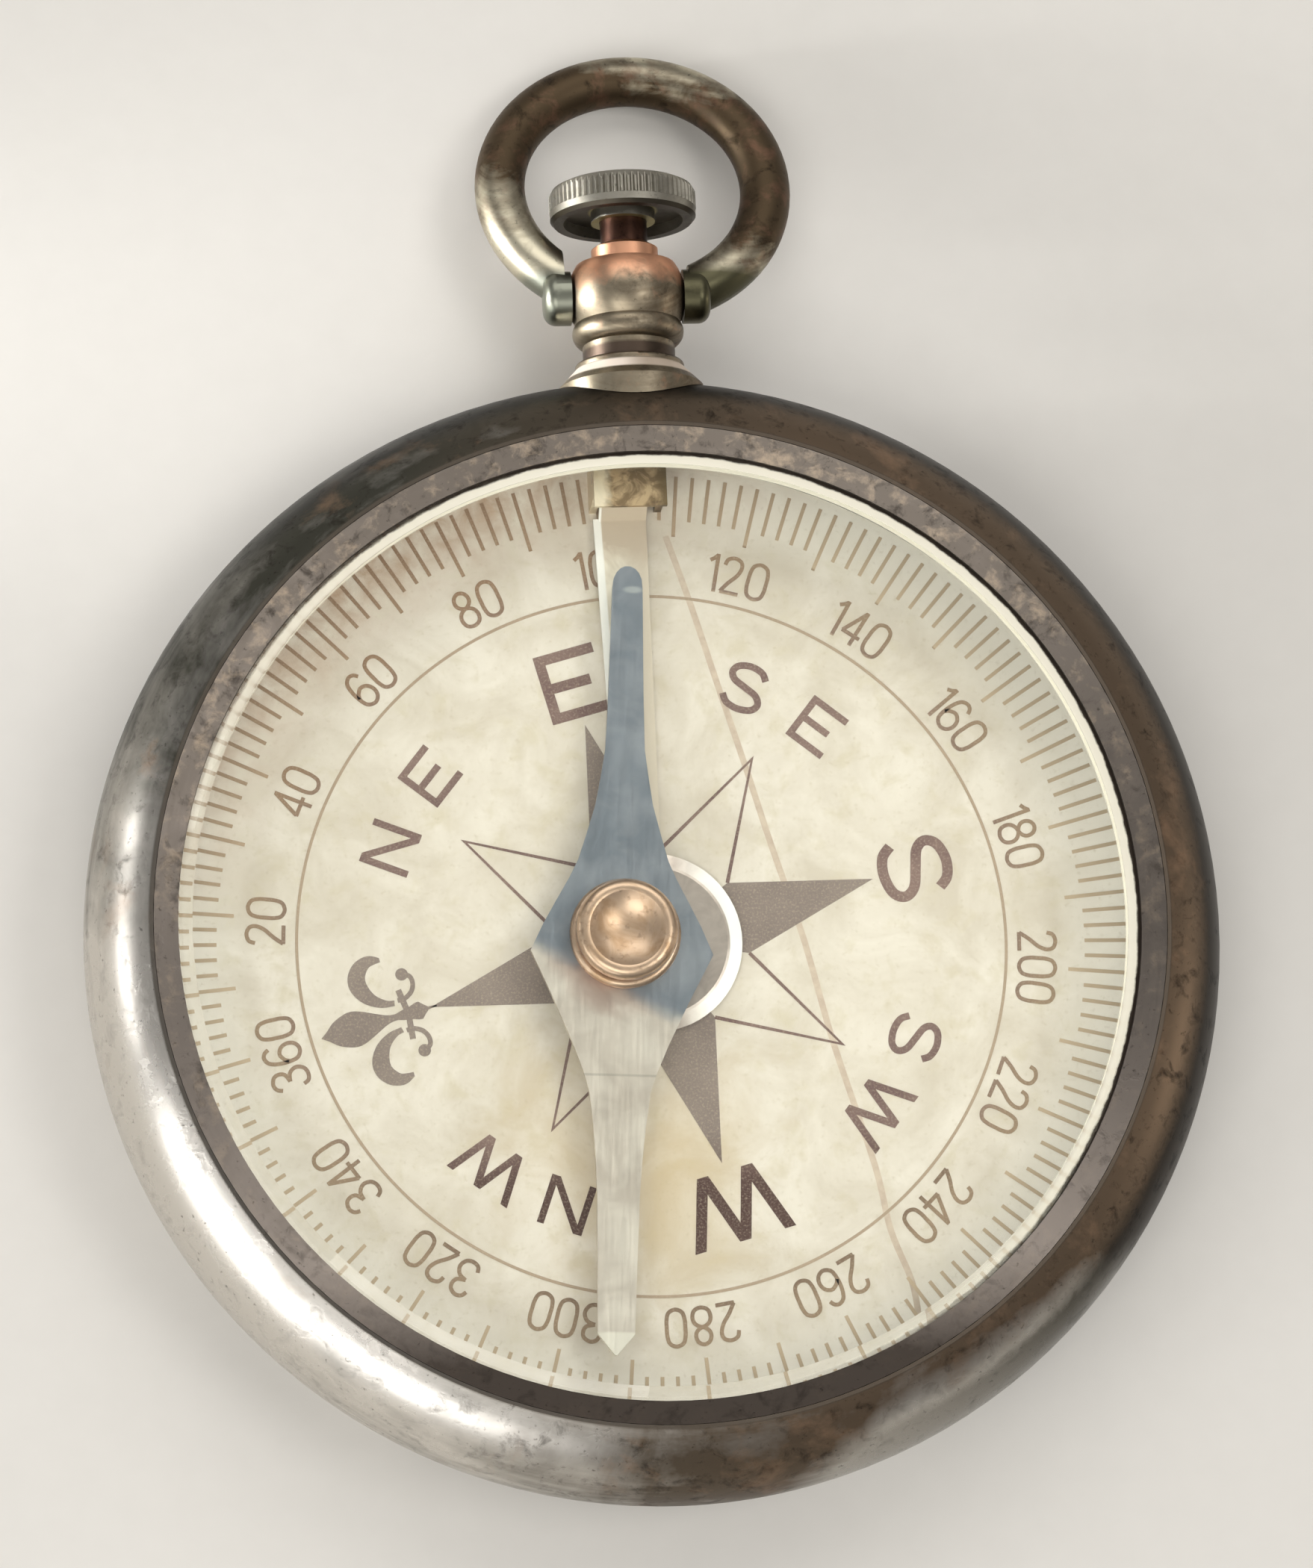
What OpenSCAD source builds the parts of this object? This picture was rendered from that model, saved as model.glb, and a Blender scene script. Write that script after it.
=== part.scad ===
// Pocket compass pendant, lying on its flat back with the bow towards +Y and the dial facing +Z.
// The origin is the middle of the flat back. All sizes are in millimetres.

/* [Case] */
// Widest diameter of the case
case_d = 45; // [43.5:0.5:48]
// Height of the rim above the back
case_h = 8.5; // [8.2:0.1:9.4]
// Depth of the rounded band's widest line below the rim, where the pendant is set
band_depth = 4.1; // [3.9:0.05:4.2]
// Width of the rounded band seen from above, from the outer edge to the rim's arris
band_w = 2.55; // [2.3:0.05:2.7]
// Width of the rounded band seen from below, from the outer edge to the flat back
under_w = 3.33; // [3:0.05:3.6]
// Thickness of the back
back_t = 1; // [0.7:0.1:1.4]
// Thickness of the case's wall at its widest line
wall_t = 3.1; // [2.9:0.05:3.3]
// Width of the ledge that carries the dial
ledge_w = 1; // [0.6:0.1:1.6]

/* [Bezel and glass] */
// Height of the pressed-in bezel ring
bezel_h = 1.5; // [1.3:0.05:1.7]
// Width of the bezel's sloping face
chamfer_w = 0.95; // [0.8:0.05:1.1]
// Drop of the bezel's sloping face
chamfer_drop = 0.34; // [0.2:0.02:0.45]
// Thickness of the glass in the middle
glass_t = 0.9; // [0.8:0.05:1]
// Width of the bevel along the glass edge
glass_bevel = 0.55; // [0.3:0.05:0.8]
// Depth of the groove that holds the glass edge
groove_d = 0.35; // [0.25:0.05:0.45]

/* [Dial and lifter] */
// Depth of the dial's seat below the rim
seat_depth = 5.5; // [5.4:0.05:5.7]
// Thickness of the dial plate
dial_t = 0.5; // [0.4:0.05:0.6]
// Sideways place of the needle's pin from the middle
pin_x = -1.3; // [-1.3:0.05:-0.9]
// Place of the needle's pin towards the bow
pin_y = -0.15; // [-0.3:0.05:0.3]
// Radius of the lifter ring round the pin
lifter_ring_r = 3.6; // [3.4:0.1:4]
// Width of the bright bevel along the lifter ring's edge
lifter_bevel = 0.6; // [0.3:0.05:0.8]
// Radius of the hole in the lifter ring
lifter_hole_r = 1.98; // [1.9:0.02:2.2]
// Thickness of the lifter's sheet
lifter_t = 0.25; // [0.2:0.05:0.3]
// Width of the lifter's arm at the bracket
arm_w_root = 1.9; // [1.6:0.05:2]
// Width of the lifter's arm at the ring
arm_w_tip = 1.4; // [1.1:0.05:1.6]
// How far the flat arm stands out to the left past its hinge end
arm_lip = 0.22; // [0:0.02:0.3]
// Thickness of the bracket's top plate
bridge_t = 0.25; // [0.2:0.05:0.35]
// How far the bracket's top plate stands out over the arm
bridge_lap = 0.45; // [0:0.05:0.5]

/* [Needle] */
// Gap between the needle's longer arm and the lifter's bracket, both turned towards the bow
needle_gap = 0.8; // [0.5:0.1:4]
// How much shorter the north arm of the needle is than the south arm
north_less = 1.7; // [0:0.1:3]
// Half width of the needle at its cusps
cusp_w = 3.6; // [3:0.05:4]
// Thickness of the needle's sheet
needle_t = 0.3; // [0.2:0.05:0.35]
// Direction of the north arm, clockwise from the bow
needle_turn = 3.3; // [0:0.1:20]
// Sideways offset of the needle's blade from its pin
blade_side = -0.1; // [-0.2:0.05:0.2]
// Radius of the brass cap's foot on the needle
cap_r = 2.2; // [1.9:0.05:2.6]
// Height of the cap above the needle
cap_h = 1.52; // [1.2:0.02:1.6]
// Radius of the crest of the cap's rolled lip
lip_r = 1.62; // [1.45:0.01:1.7]
// Depth of the dimple in the cap
dimple_d = 0.5; // [0.3:0.05:0.55]

/* [Pendant and crown] */
// Radius of the pendant's ball
ball_r = 2.4; // [2.3:0.05:2.6]
// Distance of the ball's middle, where the bow turns, from the case's edge
ball_out = 3.7; // [3.5:0.05:3.8]
// Radius of the pendant's neck
neck_r = 1.86; // [1.7:0.02:2]
// Radius of the collar's foot on the case
collar_r = 2.95; // [2.7:0.05:3.2]
// Distance from the case's edge to the top of the collar
collar_h = 0.9; // [0.7:0.05:1]
// Radius of the bead round the collar's top
bead_r = 2.2; // [2.05:0.05:2.4]
// Radius of the small swell under the ball
swell_r = 2.25; // [2:0.05:2.3]
// Radius of the crown
crown_r = 2.97; // [2.7:0.01:3]
// Thickness of the crown
crown_t = 1.45; // [1.2:0.05:1.6]
// Number of the crown's ribs
crown_ribs = 68; // [48:4:72]
// Height of the smooth band under the crown's ribs
crown_band = 0.45; // [0.2:0.05:0.6]
// Travel of the crown when it is pushed in
crown_travel = 0.4; // [0.3:0.05:0.4]
// Distance from the pendant's tube to the crown
crown_gap = 1.5; // [1.1:0.05:1.6]
// Radius of the stem
stem_r = 0.95; // [0.8:0.05:1]

/* [Bow] */
// Radius of the bow's ring to the middle of its wire
bow_r = 5.42; // [5.42:0.02:6]
// Radius of the bow's wire
wire_r = 1.02; // [0.8:0.02:1.04]
// Distance of the ring's middle from the pins
bow_l = 5.3; // [5.2:0.05:5.4]
// How far the worn ring leans to one side
bow_lean = 0.6; // [0:0.05:0.6]
// Radius of the bow's rounded ears
ear_r = 1.1; // [1:0.05:1.4]
// Thickness of the bow's ears
ear_t = 0.85; // [0.6:0.05:1]
// Radius of the bow's pins
bow_pin_r = 0.42; // [0.3:0.02:0.5]

/* [Hidden] */
$fn = 96;

// Clearances: between seated pieces, round running pieces and round what swings
seat_gap = 0.02;
run_gap = 0.05;
swing_gap = 0.12;

// The rounded band is an arc from the widest line to the rim's arris and another down to the back
case_r = case_d / 2;
band_z = case_h - band_depth;
bore_r = case_r - wall_t;
dial_seat = case_h - seat_depth;
far = 2 * case_d;
arris_r = case_r - band_w;
arris_z = case_h;
band_rho = (band_w * band_w + band_depth * band_depth) / (2 * band_w);
band_c = case_r - band_rho;
under_rho = (under_w * under_w + band_z * band_z) / (2 * under_w);
under_c = case_r - under_rho;

// Bezel ring in its recess in the rim
rim_land = 0.14;
recess_z = case_h - bezel_h;
recess_wall = arris_r - rim_land;
bezel_r = recess_wall - seat_gap;
bezel_in = bezel_r - chamfer_w;
lip_z = case_h - seat_gap - chamfer_drop;
lip_t = 0.16;
groove_r = bezel_in + groove_d;
glass_r = groove_r - run_gap;
glass_edge_z = lip_z - lip_t - seat_gap;
glass_top = lip_z + 0.08;
glass_bot = glass_top - glass_t;
glass_flat_r = bezel_in - glass_bevel;

// Levels inside, between the dial and the glass
dial_top = dial_seat + dial_t;
dial_r = bore_r - run_gap;
lifter_z = dial_top + 0.2;
lifter_rise = 1.0;
needle_z = lifter_z + lifter_t + lifter_rise + 0.15;
needle_top = needle_z + needle_t;
cap_top = needle_top + cap_h;
ring_x = -0.1;
ring_y = -0.2;

// Lifter bracket and hinge, under which the stem's tip comes in
bracket_x = -0.4;
bracket_w = 2.9;
cheek_t = 0.3;
arm_x = bracket_x - bracket_w / 2 + cheek_t + run_gap + arm_w_root / 2;
bracket_y1 = bore_r - 0.35;
bracket_y0 = bracket_y1 - 1.65;
bracket_base = 0.28;
hinge_r = 0.25;
knuckle_r = 0.52;
tip_r = 0.45;
hinge_y = bracket_y1 - 0.75;
hinge_z = band_z + tip_r + 0.2 + knuckle_r;
cheek_top = hinge_z + knuckle_r;
bridge_z = cheek_top + swing_gap;
arm_step_y = bracket_y0 - 0.35;
south_l = bracket_y0 - needle_gap;
north_l = south_l - north_less;

// Pin under the cap
pin_r = 0.34;
foot_r = 0.6;
foot_h = 0.3;
shank_r = 1.3;
socket_r = 0.75;
socket_z = needle_top + 0.35;
socket_point = 0.45;

// Pendant and stem, along their own axis from the case's axis outwards
ball_y = case_r + ball_out;
ball_top = ball_y + 1.3;
tube_r = 1.35;
tube_top = ball_top + 0.35;
bore_stem = stem_r + run_gap;
spigot_r = 1.6;
spigot_y = bore_r + 0.05;
collar_y = case_r + collar_h;
bead_h = 0.26;
swell_y = ball_y - 1.5;
swell_rho = 0.6;
crown_y = tube_top + crown_gap;
crown_top = crown_y + crown_t;
boss_r = 1.3;
recess_r = crown_r - 0.55;
recess_d = 0.45;
stem_end = crown_top - 0.3;
shoulder_y = spigot_y + 0.75;
stem_step = shoulder_y + crown_travel + 0.1;
tip_y = hinge_y + 0.65;
point_y = tip_y - 0.3;
pin_depth = 0.85;

// Bow: its ring rests on the surface that the back lies on
bow_clear = ball_r + swing_gap;
rest_gap = 0.03;
bow_drop = asin((band_z - wire_r - rest_gap) / (bow_l + bow_r));
ear_x = bow_clear + ear_t;
ear_round = 0.5;

// Half outline of a needle arm: share of the arm's length, share of the cusp's half width
north_rows = [[1.000, 0.030], [0.994, 0.082], [0.983, 0.124], [0.966, 0.155], [0.940, 0.167],
    [0.800, 0.180], [0.650, 0.194], [0.500, 0.217], [0.427, 0.262], [0.350, 0.316], [0.277, 0.400],
    [0.200, 0.495], [0.150, 0.590], [0.085, 0.735], [0.025, 0.865], [-0.048, 1.000]];
south_rows = [[0.100, 0.872], [0.160, 0.738], [0.216, 0.622], [0.264, 0.522], [0.329, 0.404],
    [0.377, 0.336], [0.458, 0.287], [0.540, 0.254], [0.620, 0.232], [0.780, 0.216],
    [0.950, 0.202], [1.000, 0.010]];

// Turns a revolved shape so that its axis runs from the case's axis towards the bow
module along_pendant() {
    translate([0, 0, band_z]) rotate([-90, 0, 0]) children();
}

// Section of the case's outside, grown by a clearance
module case_section(grow = 0) {
    intersection() {
        union() {
            intersection() {
                translate([band_c, band_z]) circle(r = band_rho + grow);
                translate([0, band_z]) square([far, far]);
            }
            intersection() {
                translate([under_c, band_z]) circle(r = under_rho + grow);
                translate([0, band_z - far]) square([far, far]);
            }
            translate([0, -grow]) square([min(band_c, under_c), arris_z + 2 * grow]);
        }
        translate([0, -grow]) square([far, arris_z + 2 * grow]);
    }
}

module case_body() {
    color("#a8a294") difference() {
        rotate_extrude() difference() {
            case_section();
            translate([0, dial_seat]) square([bore_r, far]);
            translate([0, back_t]) square([bore_r - ledge_w, far]);
            translate([0, recess_z]) square([recess_wall, far]);
        }
        along_pendant() translate([0, 0, bore_r / 2]) cylinder(r = spigot_r + seat_gap, h = far);
    }
}

module bezel() {
    color("#8d877b") rotate_extrude() polygon([
        [bezel_r, recess_z + seat_gap], [bezel_r, case_h - seat_gap], [bezel_in, lip_z],
        [bezel_in, lip_z - lip_t], [groove_r, lip_z - lip_t], [groove_r, glass_bot - seat_gap],
        [bezel_in, glass_bot - seat_gap], [bezel_in, recess_z + seat_gap]]);
}

module crystal() {
    color("#dfe8e6", 0.35) rotate_extrude() polygon([
        [0, glass_bot], [glass_r, glass_bot], [glass_r, glass_edge_z],
        [bezel_in - seat_gap, glass_edge_z], [glass_flat_r, glass_top], [0, glass_top]]);
}

module dial() {
    color("#ebe2cc") difference() {
        translate([0, 0, dial_seat]) cylinder(r = dial_r, h = dial_t);
        translate([pin_x, pin_y, 0]) cylinder(r = pin_r + seat_gap, h = far);
    }
}

module pivot_pin() {
    color("#9b968c") translate([pin_x, pin_y, 0]) rotate_extrude() polygon([
        [0, dial_seat], [pin_r, dial_seat], [pin_r, dial_top], [foot_r, dial_top],
        [foot_r, dial_top + foot_h], [pin_r, dial_top + foot_h + 0.15], [pin_r, socket_z - 0.1],
        [0, socket_z + socket_point - 0.06]]);
}

// Outline points of the needle, up one side and down the other
function arm_points(rows, l, side) = [for (r = rows) [side * r[1] * cusp_w, r[0] * l]];
function rev(a) = [for (i = [len(a) - 1:-1:0]) a[i]];
needle_outline = concat(
    arm_points(north_rows, north_l, 1), arm_points(south_rows, -south_l, 1),
    rev(arm_points(south_rows, -south_l, -1)), rev(arm_points(north_rows, north_l, -1)));

module needle() {
    color("#7f8b93") translate([pin_x, pin_y, needle_z]) rotate([0, 0, -needle_turn]) difference() {
        translate([blade_side, 0, 0]) linear_extrude(needle_t) polygon(needle_outline);
        cylinder(r = shank_r + seat_gap, h = far, center = true);
    }
}

// Brass cap: a shank through the needle, a round foot on it and a rolled lip round a dimple
module needle_cap() {
    roll_r = 0.4;
    dimple_w = lip_r - 0.1;
    dimple_rho = (dimple_w * dimple_w + dimple_d * dimple_d) / (2 * dimple_d);
    neck_h = cap_h - roll_r - seat_gap;
    foot_r2 = 0.22;
    color("#c79a4b") translate([pin_x, pin_y, 0]) rotate_extrude() difference() {
        union() {
            translate([0, needle_z]) square([shank_r, needle_t + 2 * seat_gap]);
            translate([0, needle_top + seat_gap]) square([cap_r - foot_r2, 2 * foot_r2]);
            translate([cap_r - foot_r2, needle_top + seat_gap + foot_r2]) circle(r = foot_r2);
            translate([0, needle_top + seat_gap]) square([lip_r + 0.1, neck_h]);
            translate([0, needle_top + seat_gap]) square([dimple_w, cap_h - 2 * seat_gap]);
            translate([lip_r, cap_top - roll_r]) circle(r = roll_r);
        }
        translate([0, cap_top - dimple_d + dimple_rho]) circle(r = dimple_rho);
        square([socket_r, socket_z]);
        polygon([[0, needle_z], [socket_r, needle_z], [socket_r, socket_z], [0, socket_z + socket_point]]);
        translate([-far, 0]) square(far);
    }
}

// Lifter in side view: a knuckle on the hinge, a web down to the dial and the flat arm
module lifter() {
    arm_end_y = ring_y + (lifter_hole_r + lifter_ring_r) / 2;
    color("#b9b8b0") difference() {
        union() {
            translate([arm_x, hinge_y, hinge_z]) rotate([0, 90, 0])
                cylinder(r = knuckle_r, h = arm_w_root, center = true);
            translate([arm_x - arm_w_root / 2, 0, 0]) rotate([90, 0, 90])
                linear_extrude(arm_w_root) polygon([
                    [hinge_y, hinge_z + knuckle_r], [hinge_y - knuckle_r, hinge_z + 0.1],
                    [arm_step_y - 0.1, lifter_z + lifter_t], [arm_step_y - 0.1, lifter_z],
                    [arm_step_y + 0.1, lifter_z], [hinge_y - 0.4, hinge_z - 0.25],
                    [hinge_y, hinge_z - 0.3]]);
            translate([0, 0, lifter_z]) linear_extrude(lifter_t) polygon([
                [arm_x - arm_w_root / 2 - arm_lip, arm_step_y], [arm_x + arm_w_root / 2, arm_step_y],
                [ring_x - 0.2 + arm_w_tip / 2, arm_end_y], [ring_x - 0.2 - arm_w_tip / 2 - arm_lip, arm_end_y]]);
            translate([ring_x, ring_y, lifter_z]) rotate_extrude() polygon([
                [0, 0], [lifter_ring_r, 0], [lifter_ring_r, 0.06],
                [lifter_ring_r - lifter_bevel, lifter_t], [0, lifter_t]]);
        }
        translate([ring_x, ring_y, 0]) cylinder(r = lifter_hole_r, h = far);
        translate([bracket_x, hinge_y, hinge_z]) rotate([0, 90, 0])
            cylinder(r = hinge_r + run_gap, h = far, center = true);
    }
}

module lifter_bracket() {
    color("#8a7350") difference() {
        union() {
            translate([bracket_x - bracket_w / 2, bracket_y0 + 0.25, dial_top])
                cube([bracket_w, bracket_y1 - bracket_y0 - 0.25, bracket_base]);
            for (side = [-1, 1]) translate([bracket_x + side * (bracket_w - cheek_t) / 2, 0, 0])
                translate([-cheek_t / 2, 0, 0]) rotate([90, 0, 90]) linear_extrude(cheek_t) polygon([
                    [bracket_y0, dial_top], [bracket_y1, dial_top], [bracket_y1, cheek_top - 0.5],
                    [bracket_y1 - 0.3, cheek_top], [bracket_y1 - 0.3, bridge_z + bridge_t / 2],
                    [bracket_y0, bridge_z + bridge_t / 2]]);
            translate([bracket_x - bracket_w / 2, bracket_y0 - bridge_lap, bridge_z])
                cube([bracket_w, bracket_y1 - 0.3 - bracket_y0 + bridge_lap, bridge_t]);
        }
        translate([bracket_x, hinge_y, hinge_z]) rotate([0, 90, 0])
            cylinder(r = hinge_r + seat_gap, h = far, center = true);
    }
}

module lifter_hinge_pin() {
    color("#b5b1a6") translate([bracket_x, hinge_y, hinge_z]) rotate([0, 90, 0])
        cylinder(r = hinge_r, h = bracket_w, center = true);
}

// Pendant: spigot in the case's wall, flared collar with a bead, neck, swell, ball and stem tube
module pendant() {
    color("#a88562") difference() {
        along_pendant() rotate_extrude() difference() {
            union() {
                translate([0, spigot_y]) square([spigot_r, collar_y - spigot_y]);
                polygon([[0, bore_r + wall_t / 3], [collar_r, bore_r + wall_t / 3], [collar_r, case_r - 0.15],
                    [bead_r, collar_y - bead_h], [bead_r, collar_y - bead_h / 2], [0, collar_y - bead_h / 2]]);
                translate([bead_r - bead_h / 2, collar_y - bead_h / 2]) circle(r = bead_h / 2);
                translate([0, collar_y - bead_h]) square([bead_r - bead_h / 2, bead_h]);
                translate([0, collar_y - bead_h]) square([neck_r, ball_y - collar_y]);
                translate([swell_r - swell_rho, swell_y]) circle(r = swell_rho);
                translate([0, swell_y - swell_rho]) square([swell_r - swell_rho, 2 * swell_rho]);
                translate([0, ball_y]) circle(r = ball_r);
                translate([0, ball_y]) square([tube_r, tube_top - ball_y]);
            }
            translate([-far, 0]) square([far, far]);
            translate([tube_r, ball_top]) square([far, far]);
            translate([0, shoulder_y]) square([bore_stem, far]);
            square([tip_r + run_gap, far]);
        }
        difference() {
            rotate_extrude() case_section(seat_gap);
            along_pendant() cylinder(r = spigot_r, h = far);
        }
        for (side = [-1, 1]) translate([side * (ball_r - pin_depth), ball_y, band_z])
            rotate([0, side * 90, 0]) cylinder(r = bow_pin_r + run_gap, h = far);
    }
}

module stem() {
    color("#b08d57") along_pendant() rotate_extrude() polygon([
        [0, point_y], [tip_r * 0.4, point_y], [tip_r, tip_y], [tip_r, stem_step],
        [stem_r, stem_step], [stem_r, stem_end], [0, stem_end]]);
}

// Ribbed rim of the crown in end view
function rib_points() = [for (i = [0:crown_ribs * 4 - 1])
    let (a = i * 90 / crown_ribs, r = i % 4 < 2 ? crown_r : crown_r - 0.09) [r * cos(a), r * sin(a)]];

module crown() {
    color("#9c9c96") along_pendant() difference() {
        union() {
            rotate_extrude() polygon([
                [0, crown_y], [crown_r - 0.16, crown_y], [crown_r - 0.02, crown_y + 0.16],
                [crown_r - 0.02, crown_y + crown_band], [0, crown_y + crown_band]]);
            intersection() {
                translate([0, 0, crown_y + crown_band / 2]) linear_extrude(crown_t - crown_band / 2)
                    polygon(rib_points());
                rotate_extrude() polygon([
                    [0, crown_y + crown_band], [crown_r + 0.01, crown_y + crown_band],
                    [crown_r + 0.01, crown_top - 0.36], [crown_r - 0.12, crown_top - 0.12],
                    [crown_r - 0.36, crown_top], [0, crown_top]]);
            }
        }
        difference() {
            cylinder(r = recess_r, h = crown_y + recess_d);
            cylinder(r = boss_r, h = far);
        }
        cylinder(r = stem_r + seat_gap, h = stem_end + seat_gap);
    }
}

module bow() {
    color("#8f8874") translate([0, ball_y, band_z]) rotate([-bow_drop, 0, 0]) union() {
        difference() {
            translate([bow_lean, bow_l, 0]) rotate_extrude() translate([bow_r, 0]) circle(r = wire_r);
            cube([2 * bow_clear, 6 * ear_r, 6 * ear_r], center = true);
        }
        for (side = [-1, 1]) rotate([0, side * 90, 0]) rotate_extrude() difference() {
            union() {
                square([ear_r, ear_x - ear_round]);
                square([ear_r - ear_round, ear_x]);
                translate([ear_r - ear_round, ear_x - ear_round]) difference() {
                    circle(r = ear_round);
                    translate([-far, -far]) square([far, far]);
                }
            }
            circle(r = bow_clear);
        }
        for (side = [-1, 1]) rotate([0, side * 90, 0])
            translate([0, 0, ball_r - pin_depth + run_gap]) cylinder(r = bow_pin_r, h = pin_depth + ear_t / 2);
    }
}

case_body();
bezel();
crystal();
dial();
pivot_pin();
needle();
needle_cap();
lifter();
lifter_bracket();
lifter_hinge_pin();
pendant();
stem();
crown();
bow();
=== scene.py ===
# %% [markdown]
# # A worn pocket compass on its back
# The solids of the compass come in finished from the construction step: case, bezel, glass, dial,
# needle, lifter, pendant, crown and bow. This script adds what a solid can't carry: the print on the
# dial, the bevels that catch the light, and a material for every surface. All lengths in this file
# are given in millimetres and turned to metres by one small factor.

import math

import bmesh
import bpy
from mathutils import Matrix, Vector


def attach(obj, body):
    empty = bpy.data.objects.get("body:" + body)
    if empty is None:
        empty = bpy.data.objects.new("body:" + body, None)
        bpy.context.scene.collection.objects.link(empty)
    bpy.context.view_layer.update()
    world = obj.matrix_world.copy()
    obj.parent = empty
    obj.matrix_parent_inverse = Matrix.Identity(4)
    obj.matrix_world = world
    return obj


MM = 0.001
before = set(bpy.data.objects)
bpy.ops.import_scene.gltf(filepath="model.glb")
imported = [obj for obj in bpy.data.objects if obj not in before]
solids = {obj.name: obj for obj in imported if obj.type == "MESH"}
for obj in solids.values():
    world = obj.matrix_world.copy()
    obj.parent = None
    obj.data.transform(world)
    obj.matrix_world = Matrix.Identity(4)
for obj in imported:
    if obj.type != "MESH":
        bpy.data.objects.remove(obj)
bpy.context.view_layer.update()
print("solids:", ", ".join(sorted(solids)))

# %% [markdown]
# ## The camera
# The compass was photographed from almost straight above, a little from its left and from its lower
# side, with a long lens. A long lens could be copied with an orthographic camera, but then the inner
# wall of the case would show evenly all round. A perspective camera 258 mm away keeps that small
# difference between the near and the far side. The frame is 1758 x 2100 pixels, so Blender measures
# the lens against the longer side.

# %% Camera
PHOTO_W, PHOTO_H = 1758, 2100
SENSOR = 36.0
FOCAL_PIXELS = 8670
TILT_LEFT, TILT_LOW, ROLL = math.radians(5.44), math.radians(11.767), math.radians(-2.572)
LOOKS_AT = Vector((0.421, 6.321, 3.495))
DISTANCE = 258.1
back = Vector((-math.tan(TILT_LEFT), -math.tan(TILT_LOW), 1.0)).normalized()
right = Vector((0, 1, 0)).cross(back).normalized()
up = back.cross(right)
right, up = (
    math.cos(ROLL) * right + math.sin(ROLL) * up,
    math.cos(ROLL) * up - math.sin(ROLL) * right,
)
eye = (LOOKS_AT + DISTANCE * back) * MM
lens = bpy.data.cameras.new("camera")
lens.sensor_width = SENSOR
lens.lens = FOCAL_PIXELS / max(PHOTO_W, PHOTO_H) * SENSOR
lens.clip_start, lens.clip_end = 0.01, 20
camera = bpy.data.objects.new("camera", lens)
camera.matrix_world = Matrix.Translation(eye) @ Matrix((right, up, back)).transposed().to_4x4()
bpy.context.collection.objects.link(camera)
bpy.context.scene.camera = camera
print("camera at", [round(v / MM, 1) for v in eye], "mm, lens", round(lens.lens, 1), "mm")

# %% [markdown]
# ## The light
# Nickel plate has hardly a colour of its own: it shows whatever stands around it. A single bare lamp
# would give a few hard sparks, so the room is one soft grey with wide soft panels in it. Those at the
# left, in front and low down draw the long bright band along the case, and a weak warm one stands at
# the right. The glass lies level and mirrors the part of the room straight above. A panel there would
# lay a white haze on the whole dial, so the three high panels, to the front, the back and the right,
# stand clear of that place. The one at the back is wide and dim: seen slantwise from the front, the
# glass mirrors it, and the print has to stay readable there. From three sides the high panels also
# keep the case's wall from throwing a dark shadow on the card. The smallest panel has a narrow beam
# and puts the highlight on the ball.

# %% Soft panels
def soft_panel(name, place, aim, width, height, watts, tint=(1, 1, 1), spread=180):
    panel = bpy.data.lights.new(name, "AREA")
    panel.shape, panel.size, panel.size_y = "RECTANGLE", width * MM, height * MM
    panel.energy, panel.color, panel.spread = watts, tint, math.radians(spread)
    lamp = bpy.data.objects.new(name, panel)
    lamp.location = Vector(place) * MM
    lamp.rotation_euler = (Vector(aim) - Vector(place)).to_track_quat("-Z", "Y").to_euler()
    bpy.context.collection.objects.link(lamp)


soft_panel("panel_left", (-380, -215, 125), (0, 0, 4), 250, 200, 0.74)
soft_panel("panel_front", (-215, -415, 140), (0, 0, 4), 230, 170, 0.45)
soft_panel("panel_low", (-420, 100, 55), (0, 6, 4), 210, 38, 0.3)
soft_panel("panel_small", (-100, 26, 11), (0, 26, 5), 10, 10, 0.0026, spread=24)
soft_panel("panel_over", (300, -60, 560), (0, 0, 4), 240, 200, 0.75, (1, 0.985, 0.96))
soft_panel("panel_above", (-150, -330, 560), (0, 0, 4), 460, 300, 1.35, (1, 0.985, 0.955))
soft_panel("panel_back", (60, 470, 560), (0, 0, 4), 900, 420, 2.3, (1, 0.98, 0.955))
soft_panel("panel_right", (420, -40, 50), (0, 0, 4), 120, 50, 0.13, (1, 0.9, 0.78))
world = bpy.data.worlds.new("room")
world.use_nodes = True
world.node_tree.nodes["Background"].inputs["Color"].default_value = (0.27, 0.265, 0.26, 1)
world.node_tree.nodes["Background"].inputs["Strength"].default_value = 1.0
bpy.context.scene.world = world
bpy.context.scene.view_settings.view_transform = "Standard"

# %% [markdown]
# ## Small helpers for materials
# Colours are easiest to read off as sRGB hex values, but shaders count in linear light, so one
# function converts them. One function adds a node, gives it its settings and joins its inputs. Nodes
# could be dragged together by hand instead, but a script shows every number. The other helpers each
# stand for an idea that comes back in many finishes: a mark that grows across a piece, one colour
# laid over another, and the place on a piece in millimetres.

# %% Colour and node helpers
def srgb(code):
    parts = [int(code[i : i + 2], 16) / 255 for i in (1, 3, 5)]
    return [c / 12.92 if c <= 0.04045 else ((c + 0.055) / 1.055) ** 2.4 for c in parts] + [1.0]


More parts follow.
